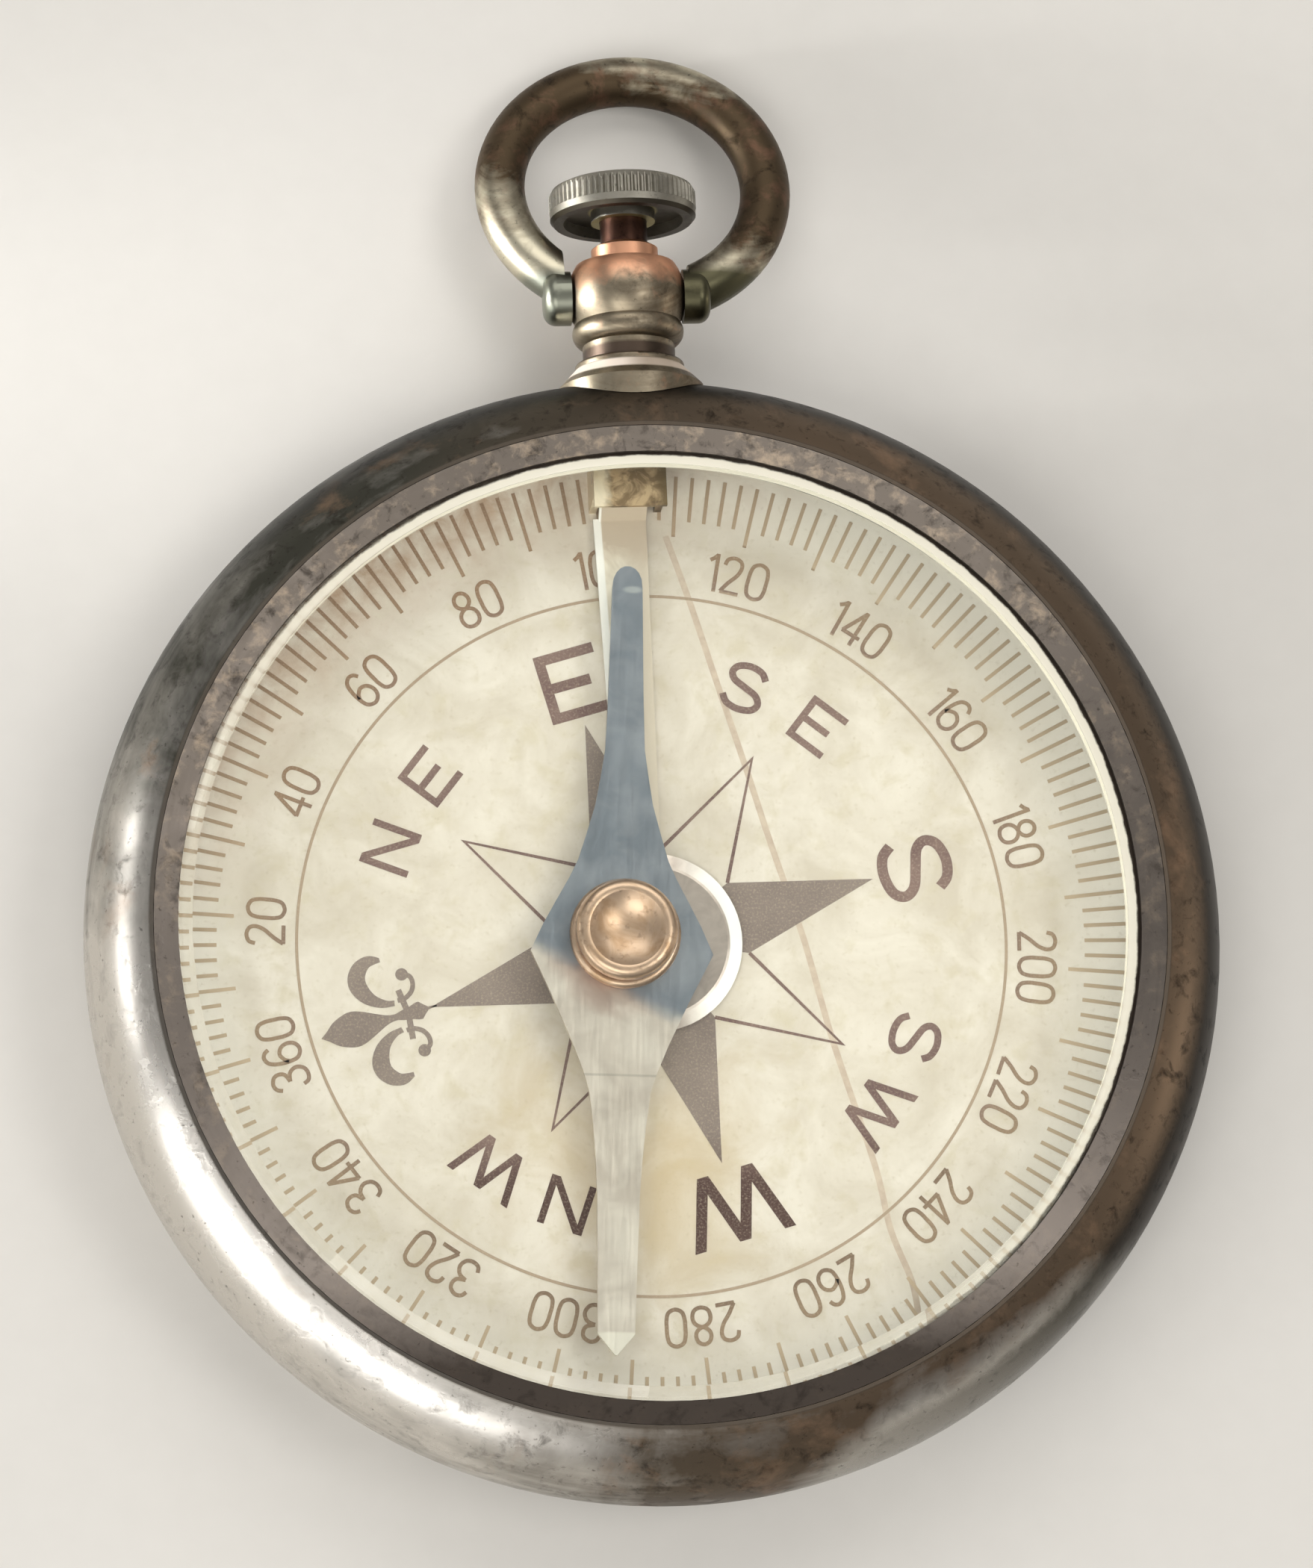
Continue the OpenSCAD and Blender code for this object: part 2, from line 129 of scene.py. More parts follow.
def add(tree, kind, *inputs, out=0, stops=None, curve="LINEAR", **settings):
    """Adds a node and gives one of its outputs, the first if out doesn't say, or several if out lists them.
    The inputs are sockets or values in the node's own order, or one dictionary of them by name or number,
    and a hex value is turned into its colour. stops are the positions and greys of a colour ramp."""
    made = tree.nodes.new("ShaderNode" + kind)
    for name, value in settings.items():
        setattr(made, name, value)
    if stops:
        made.color_ramp.interpolation = curve
        for stop, (at, grey) in zip(made.color_ramp.elements, stops):
            stop.position, stop.color = at, (grey, grey, grey, 1)
    given = inputs[0] if inputs and isinstance(inputs[0], dict) else dict(enumerate(inputs))
    for name, value in given.items():
        if isinstance(value, bpy.types.NodeSocket):
            tree.links.new(value, made.inputs[name])
        else:
            made.inputs[name].default_value = srgb(value) if isinstance(value, str) else value
    if isinstance(out, tuple):
        return [made.outputs[name] for name in out]
    return made.outputs[out] if len(made.outputs) else None


def new_material(name):
    made = bpy.data.materials.new(name)
    made.use_nodes = True
    made.node_tree.nodes.clear()
    return made, made.node_tree


def weighed(tree, start, *parts, clamp=False):
    """A start value plus each part times its weight, which lets a mark begin or end across a piece."""
    for number, (value, weight) in enumerate(parts, 1):
        ends = clamp and number == len(parts)
        start = add(tree, "Math", value, weight, start, operation="MULTIPLY_ADD", use_clamp=ends)
    return start


def lay_over(tree, below, above, mask, share=1.0, way="MIX"):
    """One colour over another where the mask is 1, and at most as strongly as share."""
    part = add(tree, "Math", mask, share, operation="MULTIPLY", use_clamp=True)
    return add(tree, "Mix", {0: part, 6: below, 7: above}, data_type="RGBA", blend_type=way, out=2)


def place_mm(tree):
    """Where a point of the surface lies on its own piece, in millimetres."""
    where = add(tree, "TexCoord", out="Object")
    return add(tree, "VectorMath", {0: where, "Scale": 1 / MM}, operation="SCALE")


def polar(tree, where):
    """The split position, and the distance from the case's axis, in millimetres."""
    x, y, z = add(tree, "SeparateXYZ", where, out=("X", "Y", "Z"))
    flat = add(tree, "CombineXYZ", x, y)
    return x, y, z, add(tree, "VectorMath", flat, operation="LENGTH", out="Value")


def dress(name, material):
    mesh = solids[name].data
    mesh.materials.clear()
    mesh.materials.append(material)


print("helpers ready")

# %% [markdown]
# ## Tarnish on nickel plate
# The case, crown and bow are brass with a thin coat of nickel, a slightly warm silver. After years in
# a pocket it dulls to grey-brown. A photo of such metal could be wrapped round the case, but it would
# fit one view only, so noise makes it here. Part of the dullness lies in polishing streaks that run
# round the case. On top of that, painted shade darkens each piece from one side to the other, the side
# away from the lamps being darker.

# %% Streaks and painted shade across a piece
CASE_SHOULDER = 20.2


def polishing_streaks(tree, x, y, z, r):
    """Streaks round the case, which change fast outwards and slowly along the rim."""
    along_x, along_y = [add(tree, "Math", v, 0.22, operation="MULTIPLY") for v in (x, y)]
    outwards = add(tree, "Math", add(tree, "Math", r, z, operation="ADD"), 2.6, operation="MULTIPLY")
    at = add(tree, "CombineXYZ", along_x, along_y, outwards)
    return add(tree, "TexNoise", {"Vector": at, "Scale": 1.0, "Detail": 5, "Roughness": 0.6})


def tarnish_slope(tree, x, y, lean, bend, ease, patch_at):
    """Painted shade that is added to the tarnish and grows across a piece, darker on the side away from the
    lamps. lean: how fast towards +X and towards the bow. bend: a step in it beside the brightest side. ease:
    from where along Y it gets less, how fast, and how far X counts as Y in that. patch_at: direction from
    the axis, in degrees, of one brighter patch."""
    slope = weighed(tree, 0.0, (y, lean[1]), (x, lean[0]))
    if bend:
        step = weighed(tree, 2.75, (slope, 5.0), clamp=True)
        slope = weighed(tree, slope, (step, bend))
    if ease:
        start, rate, x_share = ease
        past = add(tree, "Math", weighed(tree, -start, (y, 1.0), (x, x_share)), 0.0, operation="MAXIMUM")
        slope = weighed(tree, slope, (past, -rate))
    if patch_at is not None:
        a = math.radians(patch_at)
        reach = weighed(tree, -CASE_SHOULDER, (y, math.sin(a)), (x, math.cos(a)))
        reach = add(tree, "Math", reach, 0.8, operation="MULTIPLY", use_clamp=True)
        slope = weighed(tree, slope, (reach, -1.3))
    return slope


print("tarnish helpers ready")

# %% [markdown]
# ## Marks that sit in one place
# Some marks belong to one place only. The plate has gone from the ball. The case's steep outer slope
# carries a painted dark reflection and the land next to the bezel a painted shade. Rings on the pendant
# and bow have a tone of their own, with painted shade at their right, painted shade in the pendant's
# neck and a painted highlight on its collar, and painted shade darkens the underside of the crown. They
# could be painted by hand on an unrolled skin. Here each is a mask worked out from the position, which
# stays on its piece from every side and needs no picture.

# %% Marks that sit in one place
STEM_Z = 4.4
BEZEL_LAND_R = 20.0


def bare_brass(tree, coloured, brass, y, mottles, bare):
    """bare: where along Y the plate begins to go, and where it has all gone."""
    start, end = bare
    gone = weighed(tree, -start / (end - start), (y, 1 / (end - start)))
    gone = weighed(tree, -0.8, (gone, 1.0), (mottles, 1.6), clamp=True)
    return lay_over(tree, coloured, brass, gone)


def dark_slope(tree, coloured, shade, x, y, z, r, mottles):
    """Painted dark reflection on the steep outer slope of the case, and painted shade on the narrow land
    that lies next to the bezel.
    """
    down = weighed(tree, 4.0, (mottles, 0.4), (z, -0.5))
    steep = add(tree, "ValToRGB", down, stops=[(0.2, 0.0), (0.8, 1.0)], curve="EASE")
    side = weighed(tree, 0.85, (y, 0.03), (x, 0.04), clamp=True)
    coloured = lay_over(tree, coloured, shade, steep, side, way="MULTIPLY")
    # painted shade on the narrow land next to the bezel
    inwards = add(tree, "Math", r, 0.5 - BEZEL_LAND_R, operation="ADD")
    land = add(tree, "ValToRGB", inwards, stops=[(0.44, 1.0), (0.52, 0.0)])
    return lay_over(tree, coloured, "#5C544B", land, 0.8)


def turned_rings(tree, coloured, rings, x, y):
    """Each ring has its middle along Y, its colour, half width, a darker colour at the right as painted shade,
    and how much less it mirrors, so that a painted highlight stays bright. The second value says how much
    less metal there is at each point."""
    matt = 0.0
    for middle, colour, half_width, painted_shade_right, less_metal in rings:
        distance = add(tree, "Math", add(tree, "Math", y, -middle, operation="ADD"), operation="ABSOLUTE")
        near = add(tree, "Math", distance, half_width * 2, operation="DIVIDE")
        on_ring = add(tree, "ValToRGB", near, stops=[(0.4, 1.0), (0.6, 0.0)])
        to_right = add(tree, "Math", x, 0.5, operation="ADD", use_clamp=True)
        coloured = lay_over(tree, coloured, lay_over(tree, colour, painted_shade_right, to_right), on_ring)
        matt = weighed(tree, matt, (on_ring, less_metal))
    return coloured, matt


def dirty_underside(tree, coloured, under, x, z):
    """under: painted shade on the face that looks back at the case, and the colour of the boss in its middle.
    """
    facing = add(tree, "SeparateXYZ", add(tree, "NewGeometry", out="Normal"), out="Y")
    back_face = add(tree, "Math", facing, -1.0, operation="MULTIPLY")
    back_face = add(tree, "ValToRGB", back_face, stops=[(0.3, 0.0), (0.6, 1.0)])
    from_stem = add(tree, "CombineXYZ", x, add(tree, "Math", z, -STEM_Z, operation="ADD"))
    distance = add(tree, "Math", polar(tree, from_stem)[3], 0.5, operation="MULTIPLY")
    boss = add(tree, "ValToRGB", distance, stops=[(0.66, 1.0), (0.72, 0.0)])
    coloured = lay_over(tree, coloured, under[0], back_face, 0.92)
    return lay_over(tree, coloured, under[1], back_face, boss)


print("helpers for single marks ready")

# %% [markdown]
# ## Worn nickel plate
# Now the layers of the real thing, one over the other: clean plate, tarnish in patches of a few
# millimetres, dirt in hollows under a millimetre wide, dark specks of a quarter of a millimetre, and
# brass where the plate was rubbed through. Dirt is also rougher and lies a little deeper, so the same
# masks drive the roughness and a faint bump. The layers could be laid anew for each piece, but one
# recipe with a few settings keeps the five pieces alike, since they left the same bath.

# %% Worn nickel plate
def worn_nickel(
    name, bright, dull, dark, brass, tarnish, lean, rub, shine, patch=6.0, dull_left=None,
    bend=0.0, ease=None, patch_at=None, bare=None, edge=None, rings=(), foot=None, under=None
):
    """tarnish: how much there is in the middle. rub: how much brass shows. shine: roughness of the clean
    plate. patch: width of the patches. dull_left: tarnish on the -X side. edge: how dark the painted dark
    reflection on the outer slope is. foot: below which Y the metal is darker, and how dark. The rest is
    said in the helpers."""
    made, tree = new_material(name)
    where = place_mm(tree)
    x, y, z, r = polar(tree, where)
    patches = add(
        tree, "TexNoise",
        {"Vector": where, "Scale": 1 / patch, "Detail": 5, "Roughness": 0.6, "Distortion": 0.8}
    )
    mottles = add(
        tree, "TexNoise",
        {"Vector": where, "Scale": 1 / 0.8, "Detail": 6, "Roughness": 0.65, "Distortion": 0.4}
    )
    specks = add(tree, "TexNoise", {"Vector": where, "Scale": 1 / 0.25, "Detail": 3, "Roughness": 0.6})
    wear = add(
        tree, "TexNoise",
        {"Vector": where, "Scale": 2 / patch, "Detail": 6, "Roughness": 0.66, "Distortion": 0.3}
    )
    streaks = polishing_streaks(tree, x, y, z, r)
    cloud = weighed(tree, tarnish - 1.3, (streaks, 1.1), (patches, 1.5))
    # painted shade: the slope darkens each piece towards the side away from the lamps
    slope = tarnish_slope(tree, x, y, lean, bend, ease, patch_at)
    amount = add(tree, "Math", cloud, slope, operation="ADD", use_clamp=True)
    if dull_left:
        dull = lay_over(tree, dull_left, dull, weighed(tree, 0.6, (x, 0.06), clamp=True))
    coloured = lay_over(tree, bright, dull, amount)
    pitted = add(tree, "ValToRGB", mottles, stops=[(0.3, 1.0), (0.47, 0.0)])
    coloured = lay_over(tree, coloured, dark, pitted, weighed(tree, 0.25, (amount, 0.5)))
    dots = add(tree, "ValToRGB", specks, stops=[(0.27, 1.0), (0.36, 0.0)])
    coloured = lay_over(tree, coloured, dark, dots, 0.55)
    rubbed = add(tree, "ValToRGB", wear, stops=[(0.6 - 0.12 * rub, 0.0), (0.77 - 0.12 * rub, 1.0)])
    coloured = lay_over(tree, coloured, brass, rubbed, weighed(tree, 0.1, (amount, rub)))
    if bare:
        coloured = bare_brass(tree, coloured, brass, y, mottles, bare)
    if edge:
        coloured = dark_slope(tree, coloured, edge, x, y, z, r, mottles)
    coloured, matt = turned_rings(tree, coloured, rings, x, y)
    if foot:
        low = weighed(tree, 0.25 * foot[0], (mottles, 0.6), (y, -0.25), clamp=True)
        coloured = lay_over(tree, coloured, foot[1], low, way="MULTIPLY")
    if under:
        coloured = dirty_underside(tree, coloured, under, x, z)
    metal = add(tree, "Math", 1.0, matt, operation="SUBTRACT") if rings else 1.0
    rough = weighed(tree, shine, (amount, 0.16), (pitted, 0.1), clamp=True)
    height = weighed(tree, 0.0, (streaks, 0.5), (pitted, -0.6))
    bump = add(tree, "Bump", {"Height": height, "Strength": 0.16, "Distance": 0.05 * MM})
    shader = add(
        tree, "BsdfPrincipled",
        {"Base Color": coloured, "Metallic": metal, "Roughness": rough, "Normal": bump}
    )
    add(tree, "OutputMaterial", {"Surface": shader})
    return made


print("recipe for worn nickel ready")

# %% [markdown]
# ## The five plated pieces
# The case is the brightest, above all at its lower left, and painted shade darkens it towards the right
# and top. The bezel is browner, for many thumbs have wiped it. The crown is grey and hardly rubbed. The
# bow is bright low down beside the ball and painted shade darkens it round its free end, and on the
# pendant the plate has gone from the ball. Five separate materials could be written out, but each piece
# gets the one recipe with its own colours.

# %% Plate on the five pieces
plates = {
    "case_body": worn_nickel(
        # edge: painted dark reflection on the case's steep outer slope
        "case_worn_nickel", "#D0CBC3", "#706050", "#241E19", "#A98A70", 0.5, (0.023, 0.013), 0.45, 0.27,
        dull_left="#494840", bend=0.62, patch_at=-56, edge="#605E58"
    ),
    "bezel": worn_nickel(
        "bezel_worn_nickel", "#7C746D", "#756D65", "#2E2925", "#AB9B88", 0.4, (0.0, 0.035), 0.75, 0.32, 1.7,
        foot=(-14.5, "#777472")
    ),
    "crown": worn_nickel(
        "crown_worn_nickel", "#979388", "#6D675D", "#3A372F", "#8C7350", 0.1, (0.02, 0.0), 0.1, 0.4, 1.2,
        # painted shade on the crown's underside, and the colour of its boss
        under=("#453F35", "#A39A6E")
    ),
    "bow": worn_nickel(
        "bow_worn_nickel", "#C2BBA5", "#524535", "#261F18", "#6F5545", -8.1, (0.1, 0.3), 0.7, 0.34, 2.0,
        # the bow's ring is darker at the right with painted shade
        ease=(34.0, 0.78, 0.35), rings=((26.1, "#85877A", 1.1, "#55523F", 0.0),)
    ),
    "pendant": worn_nickel(
        "pendant_worn_nickel", "#A49984", "#5A4D3D", "#2A231B", "#E0A886", 0.12, (0.16, 0.014), 0.3, 0.3, 1.6,
        bare=(26.2, 27.1),
        # painted shade in the hollow neck, and a painted highlight on the collar that is pale and less metallic
        rings=((23.62, "#5D5046", 0.3, "#4A3F36", 0.0), (22.9, "#FBEDDF", 0.22, "#CDBCAA", 0.75))
    ),
}
for name, plate in plates.items():
    dress(name, plate)
print("nickel plate on", ", ".join(plates))

# %% [markdown]
# ## The brass of stem, cap and bracket
# These were never plated. The stem is reddish, and its dark colour is painted shade from the crown above
# it. The cap of the needle sat behind glass and is still bright, and the bracket has a painted highlight
# at its left end and painted shade at its right. They could have three recipes, but they are one metal,
# so one serves them all, with a clean colour, a tarnished colour and the size of the patches between them.

# %% Brass
def aged_brass(name, clean, tarnished, dark, share=0.5, shine=0.22, patch=2.0, ends=None):
    """ends: where along X the painted highlight of the left end stops and the painted shade of the right end
    begins, and both colours.
    """
    made, tree = new_material(name)
    where = place_mm(tree)
    cloud = add(
        tree, "TexNoise",
        {"Vector": where, "Scale": 1 / patch, "Detail": 5, "Roughness": 0.6, "Distortion": 0.8}
    )
    fine = add(tree, "TexNoise", {"Vector": where, "Scale": 1 / 0.35, "Detail": 5, "Roughness": 0.6})
    mixed = lay_over(
        tree, clean, tarnished,
        add(tree, "ValToRGB", cloud, stops=[(0.62 - share * 0.4, 0.0), (0.78 - share * 0.4, 1.0)])
    )
    dots = add(tree, "ValToRGB", fine, stops=[(0.3, 1.0), (0.42, 0.0)])
    coloured = lay_over(tree, mixed, dark, dots, 0.5)
    # painted highlight at the left end, painted shade at the right end
    if ends:
        x = weighed(tree, -0.25, (polar(tree, where)[0], 1.0), (fine, 0.5))
        for edge, way, colour in ((ends[0], -1.0, ends[2]), (ends[1], 1.0, ends[3])):
            share_of = weighed(
                tree, 0.5, (add(tree, "Math", x, -edge, operation="ADD"), 3.0 * way), clamp=True
            )
            coloured = lay_over(tree, coloured, colour, share_of, 0.85)
    rough = weighed(tree, shine - 0.1, (cloud, 0.3), clamp=True)
    bump = add(tree, "Bump", {"Height": fine, "Strength": 0.12, "Distance": 0.02 * MM})
    shader = add(
        tree, "BsdfPrincipled",
        {"Base Color": coloured, "Metallic": 1.0, "Roughness": rough, "Normal": bump}
    )
    add(tree, "OutputMaterial", {"Surface": shader})
    return made


# the stem's dark colours are painted shade from the crown above it
dress("stem", aged_brass("stem_aged_brass", "#523A30", "#38261F", "#17110E", 0.6, 0.36, 1.2))
dress("needle_cap", aged_brass("cap_turned_brass", "#C8AD97", "#AE8F73", "#6E5340", 0.3, 0.3, 1.5))
# painted highlight at the bracket's left end and painted shade at its right
dress("lifter_bracket", aged_brass(
    "bracket_aged_brass", "#C3AB89", "#7F6B50", "#46382A", 0.5, 0.36, 0.8, (-1.3, 0.75, "#F4E9D2", "#66563A")
))
print("brass on stem, cap and bracket")

# %% [markdown]
# ## Steel of the needle
# The needle is one strip of steel. Its north half was heated until the skin turned blue, its south
# half was left bright. Both could be two pieces, but the real needle is one, so one material changes
# colour across a slanting line near the hub. The strip was polished along its length, so the fine marks
# run that way. A pinkish brown painted reflection of the cap lies on the steel round it, and the south
# tip has a painted highlight on its two facets.

# %% Needle steel
PIN = (-1.3, -0.15, 0)
NEEDLE_TURN = math.radians(3.3)


def needle_steel():
    made, tree = new_material("needle_half_blued_steel")
    where = place_mm(tree)
    centred = add(tree, "VectorMath", {0: where, 1: PIN}, operation="SUBTRACT")
    along = add(tree, "VectorRotate", {"Vector": centred, "Angle": NEEDLE_TURN}, rotation_type="Z_AXIS")
    x, y, _, r = polar(tree, along)
    cloud = add(
        tree, "TexNoise",
        {"Vector": where, "Scale": 1 / 1.6, "Detail": 4, "Roughness": 0.5, "Distortion": 0.5}
    )
    drawn_out = add(tree, "VectorMath", {0: along, 1: (9.0, 0.6, 1.0)}, operation="MULTIPLY")
    brushed = add(tree, "TexNoise", {"Vector": drawn_out, "Scale": 1.0, "Detail": 4.0})
    worn = add(tree, "ValToRGB", cloud, stops=[(0.35, 0.0), (0.65, 1.0)])
    blue = lay_over(tree, "#858E99", "#9DA4AE", worn)
    bright = lay_over(tree, "#F0E9DF", "#D5CCC2", worn)
    # the blueing ends on a slanting line: at the left cusp, and well below the right one
    edge = weighed(tree, weighed(tree, 1.9, (cloud, 0.8)), (y, 1.0), (x, 0.5))
    half = add(
        tree, "ValToRGB", weighed(tree, 0.5, (edge, 1.2), clamp=True), stops=[(0.0, 0.0), (1.0, 1.0)],
        curve="EASE"
    )
    # a scratch across the south half, a light spot near the north end, and painted highlights on the south
    # end's two facets
    scratch = add(
        tree, "ValToRGB",
        add(tree, "Math", add(tree, "Math", y, 5.6, operation="ADD"), operation="ABSOLUTE"),
        stops=[(0.02, 1.0), (0.07, 0.0)]
    )
    bright = lay_over(tree, bright, "#8F8B80", scratch, 0.35)
    tip_highlight = add(
        tree, "ValToRGB", weighed(tree, -15.7, (y, -1.0), (cloud, 0.3)), stops=[(0.1, 0.0), (0.22, 1.0)]
    )
    bright = lay_over(tree, bright, "#FBF7EC", tip_highlight)
    # a painted reflection of the brass cap lies pinkish brown on the steel round it
    cap_reflection = weighed(tree, 2.45, (r, -0.9), (cloud, 1.2), clamp=True)
    bright = lay_over(tree, bright, "#B99D92", cap_reflection, 0.85)
    spot_from = add(tree, "VectorMath", {0: along, 1: (0.12, 13.95, 0)}, operation="SUBTRACT")
    spot_from = add(tree, "VectorMath", {0: spot_from, 1: (0.6, 1.6, 1)}, operation="MULTIPLY")
    spot = add(tree, "ValToRGB", polar(tree, spot_from)[3], stops=[(0.1, 1.0), (0.32, 0.0)], curve="EASE")
    blue = lay_over(tree, blue, "#D7DCDD", spot, 0.45)
    colour = lay_over(tree, bright, blue, half)
    rough = weighed(tree, 0.27, (brushed, 0.15))
    bump = add(tree, "Bump", {"Height": brushed, "Strength": 0.05, "Distance": 0.02 * MM})
    shader = add(
        tree, "BsdfPrincipled", {"Base Color": colour, "Metallic": 1.0, "Roughness": rough, "Normal": bump}
    )
    add(tree, "OutputMaterial", {"Surface": shader})
    return made


dress("needle", needle_steel())
print("blued steel on the needle")

# %% [markdown]
# ## Steel of pins and lifter
# The pin under the needle and the pin of the hinge are plain turned steel, hardly seen, so two greys in
# patches of a millimetre are enough. The lifter is sheet with a satin plate. Its ring's sloping rim and
# its arm's fold carry a painted highlight where the light would catch them, and the arm is painted light,
# with painted shade where it comes out from under the bracket. A lamp could be placed for each, but a
# painted highlight stays bright from every side, so it is in the material.

# %% Pin and lifter steel
def plain_steel(name, light, grey, shine):
    made, tree = new_material(name)
    where = place_mm(tree)
    cloud = add(
        tree, "TexNoise",
        {"Vector": where, "Scale": 1 / 1.2, "Detail": 5, "Roughness": 0.6, "Distortion": 0.5}
    )
    fine = add(tree, "TexNoise", {"Vector": where, "Scale": 1 / 0.15, "Detail": 3, "Roughness": 0.55})
    colour = lay_over(tree, light, grey, add(tree, "ValToRGB", cloud, stops=[(0.35, 0.0), (0.68, 1.0)]))
    rough = weighed(tree, shine - 0.1, (fine, 0.2))
    bump = add(tree, "Bump", {"Height": fine, "Strength": 0.08, "Distance": 0.01 * MM})
    shader = add(
        tree, "BsdfPrincipled", {"Base Color": colour, "Metallic": 1.0, "Roughness": rough, "Normal": bump}
    )
    add(tree, "OutputMaterial", {"Surface": shader})
    return made


def lifter_nickel():
    """Satin plate, with a painted highlight on the ring's sloping rim and on the arm's left fold."""
    made, tree = new_material("lifter_satin_nickel")
    where = place_mm(tree)
    cloud = add(
        tree, "TexNoise",
        {"Vector": where, "Scale": 1 / 1.2, "Detail": 5, "Roughness": 0.6, "Distortion": 0.5}
    )
    worn = add(tree, "ValToRGB", cloud, stops=[(0.35, 0.0), (0.68, 1.0)])
    x, y, _, r = polar(tree, add(tree, "VectorMath", {0: where, 1: (0.1, 0.2, 0)}, operation="ADD"))
    # painted highlight on the ring's rim at the right, between two radii round the ring's own middle
    inner = add(tree, "ValToRGB", weighed(tree, -2.5, (r, 1.0)), stops=[(0.58, 0.0), (0.62, 1.0)])
    outer = add(tree, "ValToRGB", weighed(tree, -3.0, (r, 1.0)), stops=[(0.62, 1.0), (0.66, 0.0)])
    rim = add(tree, "Math", inner, weighed(tree, -0.45, (x, 0.46), clamp=True), operation="MULTIPLY")
    rim = add(tree, "Math", rim, outer, operation="MULTIPLY")
    # painted highlight on the fold along the left side of the arm, which narrows towards the bracket
    fold_x = weighed(tree, -0.7, (y, -0.036))
    inside = add(tree, "Math", add(tree, "Math", x, fold_x, operation="SUBTRACT"), 0.5, operation="ADD")
    fold = add(tree, "ValToRGB", inside, stops=[(0.47, 1.0), (0.53, 0.0)])
    beyond_ring = add(tree, "ValToRGB", weighed(tree, 0.0, (y, 0.1)), stops=[(0.3, 0.0), (0.36, 1.0)])
    fold = add(tree, "Math", fold, beyond_ring, operation="MULTIPLY")
    bright = add(tree, "Math", rim, fold, operation="MAXIMUM")
    # the arm is yellower than the ring and painted light, and painted shade browns it where it comes out from
    # under the bracket
    on_arm = weighed(tree, -3.4, (y, 1.0), clamp=True)
    arm = lay_over(tree, "#F1EADC", "#D0C7B6", worn)
    arm = lay_over(tree, arm, "#D6CBBB", weighed(tree, 0.9, (x, 1.4), clamp=True))
    root_shade = weighed(tree, -21.6, (y, 1.3), (cloud, 3.2), clamp=True)
    arm = lay_over(tree, arm, "#C8B9A7", root_shade)
    colour = lay_over(tree, lay_over(tree, "#CDC3BC", "#A89D97", worn), arm, on_arm)
    # the painted highlight is near white, and it and the arm are less metallic, so their painted light shows
    # from every side
    colour = lay_over(tree, colour, "#FFFFFD", bright, 0.9)
    less_metal = add(tree, "Math", bright, on_arm, operation="MAXIMUM")
    shader = add(
        tree, "BsdfPrincipled",
        {
            "Base Color": colour, "Metallic": weighed(tree, 1.0, (less_metal, -0.85)),
            "Roughness": weighed(tree, 0.26, (cloud, 0.15))
        }
    )
    add(tree, "OutputMaterial", {"Surface": shader})
    return made


dress("lifter", lifter_nickel())
dress("pivot_pin", plain_steel("pin_turned_steel", "#B9B7B0", "#8E8B84", 0.3))
dress("lifter_hinge_pin", plain_steel("hinge_pin_bright_steel", "#D3CFC4", "#A9A498", 0.25))
print("steel on lifter and pins")

# %% [markdown]
# ## The dial
# The dial is a round of ivory card. Damp has left tan stains in its outer ring at the upper left and
# faint yellowish blotches all over. Its very rim is lightened with painted light against the shadow of
# the case wall, and painted shade greys the outer ring towards the top. A soft paper surface is rough and
# has hardly any shine. The stains could be painted on a picture, but a picture has one fixed sharpness,
# so here they follow the distance from the middle and the direction from it, broken up by noise.

